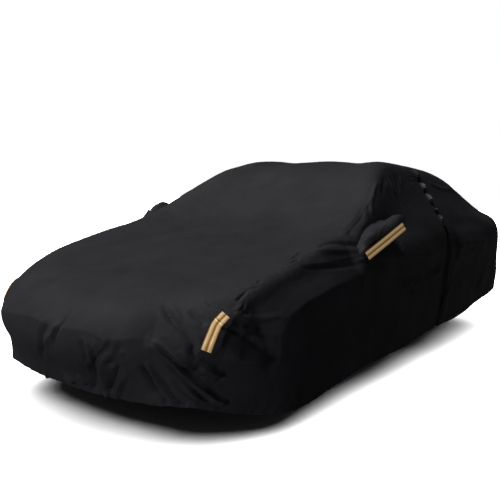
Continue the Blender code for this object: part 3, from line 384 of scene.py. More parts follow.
    ("pillar_lit", "left", ((0.829, 1.154), (0.718, 1.081), (0.645, 1.029)), 0.016, 0.009, 1.1, ""),
    ("pillar_step", "left",
     ((1.030, 1.255), (0.873, 1.169), (0.767, 1.090), (0.733, 1.050)), 0.012, 0.008, 1.1, ""),
    ("window_dark_a", "left", ((1.198, 1.290), (1.077, 1.227), (0.971, 1.159)), 0.014, -0.011, 1.1, ""),
    ("window_dark_b", "left", ((1.421, 1.310), (1.363, 1.240), (1.312, 1.196)), 0.011, -0.011, 1.1, ""),
    ("window_lit_b", "left", ((1.283, 1.301), (1.221, 1.203), (1.266, 1.149)), 0.012, 0.010, 1.0, ""),
    ("window_lit_c", "left", ((1.506, 1.303), (1.424, 1.233)), 0.011, 0.008, 1.0, ""),
    ("roof_wrinkle_a", "left", ((1.726, 1.343), (1.896, 1.357), (1.919, 1.327)), 0.008, -0.006, 1.4, ""),
    ("roof_wrinkle_b", "left", ((1.641, 1.293), (1.781, 1.306), (1.848, 1.279)), 0.008, -0.006, 1.4, ""),
    ("roof_wrinkle_c", "left", ((1.601, 1.263), (1.753, 1.279), (1.876, 1.251)), 0.008, -0.006, 1.4, ""),
    ("zip_head_lit", "left", ((1.951, 1.336), (1.960, 1.303), (1.927, 1.265)), 0.010, 0.008, 1.3, ""),
    ("quarter_lit", "left",
     ((2.014, 1.277), (2.179, 1.242), (2.489, 1.232), (2.680, 1.200)), 0.016, 0.007, 1.4, ""),
    ("zip_gully", "left",
     ((1.703, 0.237), (1.703, 0.315), (1.703, 0.399), (1.708, 0.513), (1.713, 0.605), (1.718, 0.703),
      (1.724, 0.805), (1.729, 0.857), (1.736, 0.910)), 0.020, -0.030, 1.3, "start"),
    ("zip_edge", "left",
     ((1.703, 0.237), (1.703, 0.345), (1.733, 0.455), (1.825, 0.563), (1.816, 0.673), (1.750, 0.771)),
     0.013, 0.009, 1.1, "start"),
    ("quarter_edge", "left",
     ((1.898, 0.808), (2.006, 0.827), (2.305, 0.832), (2.715, 0.805)), 0.070, 0.030, 1.0, ""),
    ("quarter_dark", "left", ((1.805, 0.739), (2.018, 0.778), (2.304, 0.783)), 0.024, -0.007, 1.6, ""),
    ("quarter_soft", "left", ((2.725, 0.550), (2.637, 0.475), (2.558, 0.378)), 0.022, 0.006, 1.6, ""),
)
AXES = {                 # the two axes of each view
    "front": ((1, 0, 0), (0, 0, 1)), "top": ((1, 0, 0), (0, 1, 0)), "corner": ((1, 1, 0), (0, 0, 1)),
    "left": ((0, 1, 0), (0, 0, 1)), "right": ((0, 1, 0), (0, 0, 1)),
}
FRONT_TO = -0.2          # y where the front ends
TOP_FROM = 0.6           # z over which the top lies
CORNER_FROM = 0.3        # x and y that bound the left front corner
CORNER_TO = 0.1
FADE = 0.3               # share of a path over which a fold comes up from the flat, at most
FADE_LENGTH = 0.09       # length of that stretch
FADE_WIDTHS = 2          # and for wide folds, in widths
FOLD_REACH = 4           # widths from its line at which a fold ends
SPAN_POINTS = 6
LIP_AT = 2.1             # a crease is edged by shallow lips, this many widths from its line
LIP_WIDTH = 0.8
LIP_SHARE = 0.18
UNEVEN_LENGTHS = (0.17, 0.43)   # a fold's depth wanders along its path
UNEVEN_SHARE = 0.12
UNEVEN_WIDTH = 0.018     # folds wider than this wander less
UNEVEN_STEP = 2.3        # from fold to fold, in radians
top, left, far = (grid.reshape(-1, 3) for grid in cut)
whole = np.concatenate([top, left, far])
STRETCHES = {            # where the folds drawn in each view lie
    "front": whole[whole[:, 1] < FRONT_TO], "left": left, "right": far, "top": top[top[:, 2] > TOP_FROM],
    "corner": whole[(whole[:, 0] > CORNER_FROM) & (whole[:, 1] < CORNER_TO)],
}


def nearest_nodes(view, path):
    """Points of the smooth cover that a path drawn in one view lies on."""
    stretch = STRETCHES[view]
    seen = stretch @ np.transpose(AXES[view])
    return np.array([stretch[np.argmin(((seen - point) ** 2).sum(axis=1))] for point in path])


def along_and_apart(nodes, line):
    """Where on a line of points each node's nearest point lies, 0 to 1, and how far away it is."""
    run = np.diff(line, axis=0)
    from_start = nodes[:, None] - line[:-1]
    part = np.clip((from_start * run).sum(axis=2) / np.maximum((run ** 2).sum(axis=1), 1e-12), 0, 1)
    apart = np.linalg.norm(from_start - part[..., None] * run, axis=2)
    best = np.argmin(apart, axis=1)
    node = np.arange(len(nodes))
    return (best + part[node, best]) / len(run), apart[node, best]


def fold_height(nodes, points, width, depth, roundness, free, number):
    """A fold's height: its depth times e to the minus nth power of distance over width.

    The power n is its roundness. Two shallow lips beside it are taken off.
    """
    line = spline(points, np.linspace(0, len(points) - 1, SPAN_POINTS * (len(points) - 1) + 1))
    height = np.zeros(len(nodes))
    reach = FOLD_REACH * width
    near = np.all((nodes > line.min(axis=0) - reach) & (nodes < line.max(axis=0) + reach), axis=1)
    if not near.any():
        return height
    along, apart = along_and_apart(nodes[near], line)
    length = np.linalg.norm(np.diff(line, axis=0), axis=1).sum()
    rise = min(FADE, max(FADE_LENGTH, FADE_WIDTHS * width) / length)
    start = np.ones_like(along) if free == "start" else np.clip(along / rise, 0, 1)
    end = np.ones_like(along) if free == "end" else np.clip((1 - along) / rise, 0, 1)
    fade = np.sin(start * np.pi / 2) * np.sin(end * np.pi / 2)
    uneven = 1.0
    for pitch in UNEVEN_LENGTHS:
        wander = UNEVEN_SHARE * min(1, UNEVEN_WIDTH / width)
        uneven = uneven + wander * np.sin(2 * np.pi * along * length / pitch + UNEVEN_STEP * number)
    apart = apart / width
    across = np.exp(-apart ** roundness) - LIP_SHARE * np.exp(-((apart - LIP_AT) / LIP_WIDTH) ** 2)
    height[near] = depth * fade * uneven * across
    return height


lifts = [np.zeros(grid.shape[:2]) for grid in cut]
for number, (name, view, path, *shape) in enumerate(FOLDS):
    points = nearest_nodes(view, np.array(path))
    for grid, lift in zip(cut, lifts):
        lift += fold_height(grid.reshape(-1, 3), points, *shape, number).reshape(lift.shape)

# ==== The slack of the cloth ========================================================================
# Between the folds the cloth swells and sinks a little and is softly crumpled, most of all along the
# seams and the hem.
SLACK = (
    # seed, shortest and longest wave, number of waves, height of the whole
    (11, 0.25, 0.60, 14, 0.0016),
    (23, 0.09, 0.20, 22, 0.0004),
)
CRUMPLE = (37, 0.030, 0.075, 40, 0.0003)
CRUMPLE_REACH = 0.09     # how fast the crumples die down away from a seam or the hem
CRUMPLE_FAR = 0.5        # share of their height far from both


def waves(nodes, seed, shortest, longest, count, height):
    """Sum of plane waves in random directions, scaled to the given typical height."""
    random = np.random.default_rng(seed)
    direction = random.normal(size=(count, 3))
    direction /= np.linalg.norm(direction, axis=1, keepdims=True)
    length = shortest * (longest / shortest) ** random.random(count)
    phase = random.random(count) * 2 * np.pi
    total = np.zeros(nodes.shape[:-1])
    for k in range(count):
        total += np.sin(nodes @ (direction[k] * 2 * np.pi / length[k]) + phase[k])
    return total * height * np.sqrt(2 / count)


def gap_to(grid, axis, index):
    """Distance along the cloth of every node from one edge row or column of its grid."""
    step = np.linalg.norm(np.diff(grid, axis=axis), axis=-1)
    run = np.cumsum(step, axis=axis)
    pad = ((1, 0), (0, 0)) if axis == 0 else ((0, 0), (1, 0))
    run = np.pad(run, pad)
    return np.abs(run - np.take(run, [index], axis=axis))


edge_gaps = []           # distance of every node from the nearest seam or hem
for grid in cut:
    sides = [gap_to(grid, 0, 0), gap_to(grid, 0, -1), gap_to(grid, 1, 0), gap_to(grid, 1, -1)]
    edge_gaps.append(np.min(sides, axis=0))
for grid, lift, edge_gap in zip(cut, lifts, edge_gaps):
    for layer in SLACK:
        lift += waves(grid, *layer)
    lift += waves(grid, *CRUMPLE) * (CRUMPLE_FAR + np.exp(-edge_gap / CRUMPLE_REACH))

# ==== The elastic hem and the sewn seams ============================================================
# A flat elastic runs in the folded lower edge all round. It gathers the cloth into small uneven
# puckers that die out upwards. The long seams are lapped, stitched twice and pucker beside the bonnet.
HEM_PUCKERS = (
    # pitch, wander, reach above the hem, depth on the front apron and elsewhere
    (0.085, 0.31, 0.045, 0.0020, 0.0014),
    (0.037, 0.17, 0.024, 0.0011, 0.0009),
)
PUCKER_WANDER = 2.1      # how far the pitch of the puckers wanders, in radians
PUCKER_EVEN = 0.65       # share of a pucker's height that is the same all along the hem
SWELL_PITCH = 2.7        # of the rest, in wanders
HEM_DEPTH = 0.022
HEM_THICK = 0.0012
HEM_EDGE = 6             # how sharply the turned-up hem ends
SEAM_PITCH = 0.042
SEAM_REACH = 0.022
SEAM_WANDER = 1.9        # how far that pitch wanders, in radians
SEAM_WANDER_PITCH = 0.19
SEAM_SUNK = 0.5          # a seam lies this share of a pucker lower than the cloth beside it
SEAM_PUCKER = (
    # y of the cloth, height of the puckers there
    (-0.90, 0.0004), (-0.62, 0.0008), (-0.50, 0.0008), (-0.38, 0.0006), (-0.24, 0.0012), (-0.04, 0.0014),
    (0.08, 0.0004), (1.55, 0.0004), (1.70, 0.0020), (1.95, 0.0020), (2.15, 0.0006), (3.80, 0.0004),
)
ZIP_STATION = 9          # the left side opens here
ZIP_NODES = 6            # width of the gathered placket over the opening, in nodes
BEADS = (
    # height of the bead's middle, half length, how far it stands out, and lean along the seam
    (1.335, 0.040, 0.010, 0.3), (1.275, 0.018, -0.009, -0.2), (1.236, 0.024, 0.021, 0.4),
    (1.195, 0.012, -0.010, 0.3), (1.150, 0.030, 0.022, 0.3), (1.104, 0.011, -0.009, -0.6),
    (1.074, 0.013, 0.013, -0.4), (1.046, 0.010, -0.008, 0.0), (1.012, 0.020, 0.017, 0.5),
    (0.975, 0.014, 0.009, -0.5),
)
BEAD_REACH = 0.026       # how far the beads swell on both sides of the opening
BEAD_ROUNDNESS = 1.3
ROW_STEPS = (1, 2, 3, 3, 6, 6, 6, 6, 6, 6, 6)    # the top panel keeps one row in so many, station by station
REAR_STEP = 4            # and on the rear apron


def run_along(line):
    """Distance of each point of a line from its start."""
    return np.concatenate([[0], np.cumsum(np.linalg.norm(np.diff(line, axis=0), axis=-1))])


def hem_puckers(grid, hem_row, on_front):
    """Waves along the hem whose pitch wanders. They fade as e to the minus square of height over reach."""
    run = run_along(grid[hem_row])
    height = gap_to(grid, 0, hem_row)
    total = np.zeros(grid.shape[:2])
    for pitch, wander, reach, front_depth, side_depth in HEM_PUCKERS:
        wave = np.sin(2 * np.pi * run / pitch + PUCKER_WANDER * np.sin(2 * np.pi * run / wander))
        swell = np.sin(2 * np.pi * run / (SWELL_PITCH * wander) + 1.0)
        wave *= PUCKER_EVEN + (1 - PUCKER_EVEN) * swell
        ends = np.clip(np.minimum(run, run[-1] - run) / pitch, 0, 1)
        depth = front_depth if on_front else side_depth
        total += depth * ends * wave * np.exp(-(height / reach) ** 2)
    total += HEM_THICK * np.exp(-(height / HEM_DEPTH) ** HEM_EDGE)
    return total


def seam_puckers(grid, run, gap):
    """Waves along a seam, on the cloth beside it; their height depends on where the seam is."""
    height = np.interp(grid[..., 1], *np.transpose(SEAM_PUCKER))
    wander = SEAM_WANDER * np.sin(2 * np.pi * run / SEAM_WANDER_PITCH)
    wave = np.sin(2 * np.pi * run / SEAM_PITCH + wander)
    return height * (wave - SEAM_SUNK) * np.exp(-gap / SEAM_REACH)


lifts[0] += hem_puckers(top_cut, 0, True) + hem_puckers(top_cut, -1, False)
lifts[1] += hem_puckers(left_cut, 0, False)
lifts[2] += hem_puckers(right_cut, 0, False)
last_row, last_column = left_cut.shape[0] - 1, left_cut.shape[1] - 1
for top_edge, side in ((-1, 1), (0, 2)):
    run = run_along(top_cut[:, top_edge])
    lifts[0] += seam_puckers(top_cut, run[:, None], gap_to(top_cut, 1, top_edge))
    beside = run[last_row:last_row + last_column + 1]
    lifts[side] += seam_puckers(cut[side], beside[None], gap_to(cut[side], 0, -1))

# the cloth beside the upright opening swells with the beads of the placket
zip_column = (ZIP_STATION - FRONT_CORNER) * STATION_NODES - ZIP_NODES // 2
zip_middle = zip_column + ZIP_NODES // 2
beside_zip = gap_to(left_cut, 1, zip_middle) * np.sign(np.arange(last_column + 1) - zip_middle)
for middle, half, stand, lean in BEADS:
    apart = ((left_cut[..., 2] - middle - lean * beside_zip) / half) ** 2 + (beside_zip / BEAD_REACH) ** 2
    lifts[1] += stand * np.exp(-apart ** BEAD_ROUNDNESS)
draped = [grid + normal * lift[..., None] for grid, normal, lift in zip(cut, cut_normals, lifts)]

# The edges of the top panel run straight between its kept rows, and the side panels take those same
# edges, so that the seams stay shut.
station_rows = [UP_ROWS + k * STATION_NODES + np.arange(0, STATION_NODES, step)
                for k, step in enumerate(ROW_STEPS)]
rear_rows = len(top_cut) - 1 - np.arange(UP_ROWS, -1, -REAR_STEP)
top_rows = np.concatenate([np.arange(UP_ROWS), *station_rows, rear_rows])
for edge in (0, -1):
    kept = draped[0][top_rows, edge]
    for axis in range(3):
        draped[0][:, edge, axis] = np.interp(np.arange(len(top_cut)), top_rows, kept[:, axis])
for side, edge in ((1, -1), (2, 0)):
    draped[side][:, 0] = draped[0][:last_row + 1, edge]
    draped[side][last_row] = draped[0][last_row:last_row + last_column + 1, edge]
    draped[side][:, -1] = draped[0][last_row + last_column:, edge][::-1]
draped_normals = seam_normals(*draped)

# ==== The top panel =================================================================================
# One length of black woven polyester with a thin coating inside, from hem to hem. It is sewn to the
# side panels with a lapped seam and two rows of stitches.
CLOTH = 0.0015           # thickness of cloth and coating
POLYESTER = (0.028, 0.028, 0.032)
BLOTCHES = 0.12          # how much paler and darker the dye is in soft blotches
BLOTCH_EDGES = (0.3, 0.7)
# painted highlight: the pale grey mixed into the tops of the placket's beads, where light would catch them
PAINTED_HIGHLIGHT = (0.30, 0.30, 0.31)


def add_node(nodes, kind, **inputs):
    """Adds one shader node; the name of an input has _ for its spaces."""
    node = nodes.new("ShaderNode" + kind)
    for name, value in inputs.items():
        node.inputs[name.replace("_", " ")].default_value = value
    return node


def mixed_in(nodes, links, attribute_name, colour):
    """Mix of a colour into another where a piece's attribute says so."""
    attribute = add_node(nodes, "Attribute")
    attribute.attribute_name = attribute_name
    mix = add_node(nodes, "Mix")
    mix.data_type = "RGBA"
    mix.inputs["B"].default_value = (*colour, 1)
    links.new(attribute.outputs["Fac"], mix.inputs["Factor"])
    return mix


def polyester(name, base_colour):
    """Black polyester: fine weave, soft crinkles and a faint sheen, paler where a piece marks a painted
    highlight.
    """
    material = bpy.data.materials.new(name)
    material.use_nodes = True
    nodes, links = material.node_tree.nodes, material.node_tree.links
    shader = nodes["Principled BSDF"]
    shader.inputs["Roughness"].default_value = 0.60
    shader.inputs["Specular IOR Level"].default_value = 0.055
    place = add_node(nodes, "TexCoord")
    blotch = add_node(nodes, "TexNoise", Scale=5.0, Detail=4.0)
    links.new(place.outputs["Object"], blotch.inputs["Vector"])
    shade = add_node(nodes, "ValToRGB")
    for stop, at, share in zip(shade.color_ramp.elements, BLOTCH_EDGES, (1 - BLOTCHES, 1 + BLOTCHES)):
        stop.position = at
        stop.color = (*(share * v for v in base_colour), 1)
    links.new(blotch.outputs["Fac"], shade.inputs["Fac"])
    # painted highlight, mixed in where the piece marks it
    pale = mixed_in(nodes, links, "worn", PAINTED_HIGHLIGHT)
    links.new(shade.outputs["Color"], pale.inputs["A"])
    links.new(pale.outputs["Result"], shader.inputs["Base Color"])

    crinkle = add_node(nodes, "TexNoise", Scale=60.0, Detail=3.0, Distortion=0.6)
    links.new(place.outputs["Object"], crinkle.inputs["Vector"])
    crinkle_bump = add_node(nodes, "Bump", Strength=0.12, Distance=0.0012)
    links.new(crinkle.outputs["Fac"], crinkle_bump.inputs["Height"])

    weave = add_node(nodes, "Math")
    weave.operation = "MULTIPLY"
    for direction, factor in zip("XY", weave.inputs):
        thread = add_node(nodes, "TexWave", Scale=520.0)
        thread.bands_direction = direction
        links.new(place.outputs["UV"], thread.inputs["Vector"])
        links.new(thread.outputs["Fac"], factor)
    weave_bump = add_node(nodes, "Bump", Strength=0.15, Distance=0.0002)
    links.new(weave.outputs["Value"], weave_bump.inputs["Height"])
    links.new(crinkle_bump.outputs["Normal"], weave_bump.inputs["Normal"])
    links.new(weave_bump.outputs["Normal"], shader.inputs["Normal"])
    return material


def closed_sheet(name, points, outward, flat_uv, thickness, closed_across=False):
    """Thin closed body from a grid of outer-face points in body line coordinates.

    The inner face takes every second row and column and lies one thickness inside along the normals. A
    narrow rim joins the two. A grid that is closed across is joined from its last column to its first.
    """
    rows, columns = points.shape[:2]
    node = np.arange(rows * columns).reshape(rows, columns)
    loop = np.concatenate([node, node[:, :1]], axis=1) if closed_across else node
    keep = [np.unique(np.append(np.arange(0, size, 2), size - 1)) for size in loop.shape]
    count = rows * columns
    inner_of = np.full(count, -1)
    kept = np.unique(loop[np.ix_(*keep)])
    inner_of[kept] = count + np.arange(len(kept))
    inner_loop = inner_of[loop[np.ix_(*keep)]]
    outer = points.reshape(-1, 3) - ORIGIN
    outward = outward.reshape(-1, 3)
    faces = [np.stack([net[:-1, :-1], net[1:, :-1], net[1:, 1:], net[:-1, 1:]], axis=-1).reshape(-1, 4)
             for net in (loop, inner_loop)]
    corners = outer[faces[0]]
    turn = np.cross(corners[:, 2] - corners[:, 0], corners[:, 3] - corners[:, 1])
    facing_in = (turn * outward[faces[0]].sum(axis=1)).sum() < 0
    edges = [(loop[0, ::-1], loop.shape[1] - 1 - keep[1][::-1]), (loop[-1], keep[1])]
    if not closed_across:
        edges += [(loop[:, 0], keep[0]), (loop[::-1, -1], loop.shape[0] - 1 - keep[0][::-1])]
    rim = []
    for line, stops in edges:
        for first, last in zip(stops[:-1], stops[1:]):
            rim.append([*line[first:last + 1][::-1], inner_of[line[first]], inner_of[line[last]]])
    every_face = faces[0].tolist() + faces[1][:, ::-1].tolist() + rim
    if facing_in:
        every_face = [face[::-1] for face in every_face]
    inner = (outer - outward * np.broadcast_to(thickness, points.shape[:2]).reshape(-1, 1))[kept]
    mesh = bpy.data.meshes.new(name)
    mesh.from_pydata(np.concatenate([outer, inner]), [], every_face)
    uv = mesh.uv_layers.new(name="flat")
    corner_node = np.empty(len(mesh.loops), dtype=np.int32)
    mesh.loops.foreach_get("vertex_index", corner_node)
    flat_uv = flat_uv.reshape(-1, 2)
    flat_uv = np.concatenate([flat_uv, flat_uv[kept]])[corner_node]
    uv.data.foreach_set("uv", flat_uv.astype(np.float32).ravel())
    mesh.shade_smooth()
    mesh.normals_split_custom_set_from_vertices(np.concatenate([outward, -outward[kept]]))
    piece = bpy.data.objects.new(name, mesh)
    bpy.context.scene.collection.objects.link(piece)
    return piece


def mark(piece, name, values):
    """Stores one value for each node of a piece, for its material to read."""
    attribute = piece.data.attributes.new(name, "FLOAT", "POINT")
    attribute.data.foreach_set("value", values.astype(np.float32))


def flat_sizes(grid):
    """Distance of every node from the first column and from the first row, in metres."""
    return np.stack([gap_to(grid, 1, 0), gap_to(grid, 0, 0)], axis=-1)


def panel(name, side, rows, columns):
    """One panel from chosen rows and columns of a draped grid."""
    pick = np.ix_(rows, columns)
    hem = np.exp(-(gap_to(cut[side], 0, 0) / HEM_DEPTH) ** HEM_EDGE)
    if side == 0:
        hem += np.exp(-(gap_to(cut[side], 0, -1) / HEM_DEPTH) ** HEM_EDGE)
    thickness = CLOTH + 2 * HEM_THICK * hem
    return closed_sheet(name, draped[side][pick], draped_normals[side][pick], flat_sizes(cut[side])[pick],
                        thickness[pick])


black = polyester("black_polyester", POLYESTER)
top_panel = panel("top_panel_cloth", 0, top_rows, np.arange(top_cut.shape[1]))
top_panel.data.materials.append(black)
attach(top_panel, "root")
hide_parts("top_panel")

# ==== The side panels ===============================================================================
# The same cloth. The left side is cut in two, at the upright opening behind the front door.
LEFT_FRONT_FLAT = (2.75, 1.05)
LEFT_REAR_FLAT = (2.05, 1.10)
RIGHT_FLAT = (4.60, 1.10)
side_rows = np.arange(UP_ROWS + 1)
for name, node, side, columns, flat in (
        ("left_front_cloth", "left_front_side_panel", 1, np.arange(zip_column + 1), LEFT_FRONT_FLAT),
        ("left_rear_cloth", "left_rear_quarter_panel", 1,
         np.arange(zip_column + ZIP_NODES, last_column + 1), LEFT_REAR_FLAT),
        ("right_cloth", "right_side_panel", 2, np.arange(0, last_column + 1, 2), RIGHT_FLAT)):
    cloth = panel(name, side, side_rows, columns)
    cloth.data.materials.append(black)
    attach(cloth, "root")
    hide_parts(node)

# ==== The gathered placket ==========================================================================
# A narrow strip of the same cloth over the upright opening, sewn to both panels and drawn together,
# so that its upper part stands in tight beads. The opening slides shut under it.
# painted shade: the placket is far blacker than the cloth, so that the groove of the opening and the gaps
# between its beads read as deep shade
PAINTED_SHADE_BLACK = (0.006, 0.006, 0.007)
HIGHEST_BEAD = 0.022     # beads that stand out this far get the full painted highlight
PLACKET_ACROSS = 12      # its columns, and its rows for each row of the side panel
PLACKET_UP = 5
PLACKET_PROUD = 0.006    # how far it stands out where it is gathered
PLACKET_SUNK = 0.006     # and how deep it lies below that
WRINKLE_PITCH = 0.021
WRINKLE_HEIGHT = 0.0022
WRINKLE_SLANT = 2        # how far the wrinkles slant and their pitch wanders, in radians
WRINKLE_BEND = 2
WRINKLE_WANDER = 0.13    # length over which that pitch wanders
PLACKET_ROUND = 0.5      # how square its section is
WRINKLES_FROM = 0.95     # height below which the placket hangs smooth
WRINKLES_IN = 0.1        # and how much higher they have their full height
BEAD_TOP_AT = 0.3        # the painted highlight on a bead's top: its place over the middle, its length and its width,
BEAD_TOP_LONG = 0.6      # the first two in half lengths of the bead, the last in half widths
BEAD_TOP_WIDE = 0.8
HIGHLIGHT_EVEN = 0.55         # share of the painted highlight that doesn't follow the wrinkles
at_row = np.linspace(0, UP_ROWS, UP_ROWS * PLACKET_UP + 1)
at_column = np.linspace(zip_column, zip_column + ZIP_NODES, PLACKET_ACROSS + 1)


def between(grid):
    """Values of a side grid at the placket's own nodes."""
    whole = np.arange(zip_column, zip_column + ZIP_NODES + 1)
    part = grid[:, whole]
    low = np.minimum(at_row.astype(int), UP_ROWS - 1)
    share = (at_row - low)[:, None, None]
    part = part[low] * (1 - share) + part[low + 1] * share
    first = np.minimum((at_column - zip_column).astype(int), ZIP_NODES - 1)
    share = (at_column - zip_column - first)[None, :, None]
    return part[:, first] * (1 - share) + part[:, first + 1] * share


placket = between(draped[1])
placket_up = between(draped_normals[1])
placket_up /= np.linalg.norm(placket_up, axis=-1, keepdims=True)
across = np.linspace(-1, 1, PLACKET_ACROSS + 1)[None]
height = placket[..., 2]
gathered = np.clip((height - WRINKLES_FROM) / WRINKLES_IN, 0, 1)
section = np.cos(across * np.pi / 2)
rise = (PLACKET_PROUD * gathered - PLACKET_SUNK * (1 - gathered)) * section ** PLACKET_ROUND
down = run_along(placket[:, PLACKET_ACROSS // 2])[:, None]
wander = WRINKLE_BEND * np.sin(2 * np.pi * down / WRINKLE_WANDER)
wrinkle = np.sin(2 * np.pi * down / WRINKLE_PITCH + WRINKLE_SLANT * across + wander)
rise += WRINKLE_HEIGHT * wrinkle * section * gathered
placket = placket + placket_up * rise[..., None]
placket_cloth = closed_sheet("left_placket_cloth", placket, outward_normals(placket), flat_sizes(placket),
                             CLOTH)
# painted highlight on the upper side of each standing bead, strongest on the beads that stand out most and
# on the wrinkles' crests
bead_highlight = np.zeros_like(height)
for middle, half, stand, lean in BEADS:
    if stand > 0:
        up_bead = (height - middle - BEAD_TOP_AT * half) / (BEAD_TOP_LONG * half)
        bead_highlight += stand / HIGHEST_BEAD * np.exp(-up_bead ** 2 - (across / BEAD_TOP_WIDE) ** 4)
bead_highlight = np.clip(bead_highlight, 0, 1) * (HIGHLIGHT_EVEN + (1 - HIGHLIGHT_EVEN) * wrinkle)
mark(placket_cloth, "worn", np.resize(bead_highlight.ravel(), len(placket_cloth.data.vertices)))
# the placket's near black is painted shade of the groove and of the gaps between the beads
placket_cloth.data.materials.append(polyester("placket_polyester", PAINTED_SHADE_BLACK))
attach(placket_cloth, "root")
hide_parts("left_gathered_placket")

# ==== The mirror pockets ============================================================================
# A short sleeve of the same cloth is sewn into each side panel and closed by an oval end piece. Its
# outline is that of a door mirror, low at the front and tilted up towards its end.
POCKET_FLAT = (0.80, 0.19)
POCKET_BASE = (0.635, 0.918, 0.265, 0.060, 18.0)   # centre y, z, half length, half height, tilt in degrees
POCKET_FLARE = ((0.94, 0.007), (0.86, 0.030))    # scales of the base outline, lifts from the panel
POCKET_RINGS = (
    # name      x      centre y  z      half y  half z  tilt
    ("body",    0.925, 0.692,  0.968,  0.150,  0.056,  27.0),
    ("rim",     0.966, 0.735,  0.998,  0.088,  0.042,  28.0),
    ("end",     0.978, 0.744,  1.002,  0.058,  0.028,  28.0),
    ("tip",     0.985, 0.750,  1.004,  0.020,  0.010,  28.0),
)
POCKET_AROUND = 120
POCKET_OUT = 56
POCKET_SUNK = 0.004      # the sewn edge lies this far under the panel's face
RIM_ROW = 0.50           # share of the way out where the end piece is sewn on
RIM_PROUD = 0.0025
RIM_HALF = 0.012         # in shares of the way out
CREASE_LONG = 0.13       # half length of a crease, also in shares of the way out
CREASE_ROUNDNESS = 1.5
POCKET_CRUMPLE = (53, 0.05, 0.14, 24, 0.0012)    # as the layers of slack
FADE_IN = 0.08           # shares of the way over which creases come up at the seam
FADE_OUT = 0.1           # and die down at the end piece
CLOSING = 0.02           # size of the last ring of the end piece, in its ring before
PATCH_HALF = (0.4, 0.25)  # half length and half height of the patch of panel round a pocket
PATCH_BLEND = 0.008      # how far the panel's nodes are averaged under the sewn edge
POCKET_CREASES = (
    # angle round the sleeve in degrees, width in degrees, depth, share of the way out of its middle
    (160, 7, -0.006, 0.22), (178, 6, 0.004, 0.26), (200, 9, -0.005, 0.20), (120, 9, -0.004, 0.30),
    (95, 8, 0.003, 0.30), (60, 8, -0.003, 0.32), (235, 10, -0.004, 0.25), (330, 12, -0.004, 0.25),
)


def oval(centre_y, centre_z, half_y, half_z, tilt):
    """Points of a tilted ellipse in y and z."""
    turn = np.linspace(0, 2 * np.pi, POCKET_AROUND, endpoint=False)
    y, z = half_y * np.cos(turn), half_z * np.sin(turn)
    lean = np.radians(tilt)
    return np.column_stack([centre_y + y * np.cos(lean) - z * np.sin(lean),
                            centre_z + y * np.sin(lean) + z * np.cos(lean)])


def on_panel(side, targets):
    """Points and normals of a side panel at given y and z, between its nearest nodes."""
    grid, normals = draped[side], draped_normals[side]
    near = np.all(np.abs(grid[..., 1:] - targets.mean(axis=0)) < PATCH_HALF, axis=-1)
    nodes, upright = grid[near], normals[near]
    apart = ((nodes[None, :, 1:] - targets[:, None]) ** 2).sum(axis=2)
    weight = np.exp(-apart / PATCH_BLEND ** 2)
    weight /= weight.sum(axis=1, keepdims=True)
    points = weight @ nodes
    points[:, 1:] = targets
    upright = weight @ upright
    return points, upright / np.linalg.norm(upright, axis=1, keepdims=True)


def sleeve_normals(grid, hand, sure_row):
    """Unit normals of a sleeve closed across, turned outwards by the sense of one row."""
    cross = np.cross(np.gradient(grid, axis=0), np.roll(grid, -1, axis=1) - np.roll(grid, 1, axis=1))
    normal = cross / np.linalg.norm(cross, axis=-1, keepdims=True)
    return normal * np.sign(normal[sure_row, :, 0].sum() * hand)


def pocket(side, hand):
    """Sleeve from rings: the sewn edge on the panel, two flares, then the ovals out to the end piece."""
    edge, upright = on_panel(side, oval(*POCKET_BASE))
    rings = [edge - upright * POCKET_SUNK]
    for scale, lift in POCKET_FLARE:
        rings.append(edge.mean(axis=0) + (edge - edge.mean(axis=0)) * scale + upright * lift)
    for name, x, *shape in POCKET_RINGS:
        ring = oval(*shape)
        rings.append(np.column_stack([np.full(len(ring), hand * x), ring]))
    out = np.linspace(0, 1, POCKET_OUT + 1)
    grid = spline(np.array(rings), out * (len(rings) - 1))
    normal = sleeve_normals(grid, hand, -1)
    angle = np.degrees(np.linspace(0, 2 * np.pi, POCKET_AROUND, endpoint=False))
    lift = RIM_PROUD * np.exp(-((out - RIM_ROW) / RIM_HALF) ** 2)[:, None] * np.ones(POCKET_AROUND)
    for place, width, depth, middle in POCKET_CREASES:
        round_gap = (angle - place + 180) % 360 - 180
        across = np.exp(-np.abs(round_gap / width) ** CREASE_ROUNDNESS)
        lift += depth * across * np.exp(-((out - middle) / CREASE_LONG) ** 2)[:, None]
    lift += waves(grid, *POCKET_CRUMPLE)
    lift *= np.clip(out / FADE_IN, 0, 1)[:, None] * np.clip((1 - out) / FADE_OUT, 0, 1)[:, None]
    grid = grid + normal * lift[..., None]
    return grid, sleeve_normals(grid, hand, POCKET_OUT // 2)


pockets = {}
for side, hand, name in ((1, 1, "left_mirror_pocket"), (2, -1, "right_mirror_pocket")):
    grid, normal = pocket(side, hand)
    pockets[name] = grid, normal
    last = grid[-1].mean(axis=0)
    closing = np.repeat(last[None, None], POCKET_AROUND, axis=1) + (grid[-1:] - last) * CLOSING
    grid = np.concatenate([grid, closing])
    normal = np.concatenate([normal, np.tile(np.array([hand, 0.0, 0.0]), (1, POCKET_AROUND, 1))])
    size = np.stack([np.tile(np.linspace(0, POCKET_FLAT[0], POCKET_AROUND), (len(grid), 1)),
                     gap_to(grid, 0, 0)], axis=-1)
    sleeve = closed_sheet(name + "_cloth", grid, normal, size, CLOTH, closed_across=True)
    sleeve.data.materials.append(black)
    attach(sleeve, "root")
    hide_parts(name)

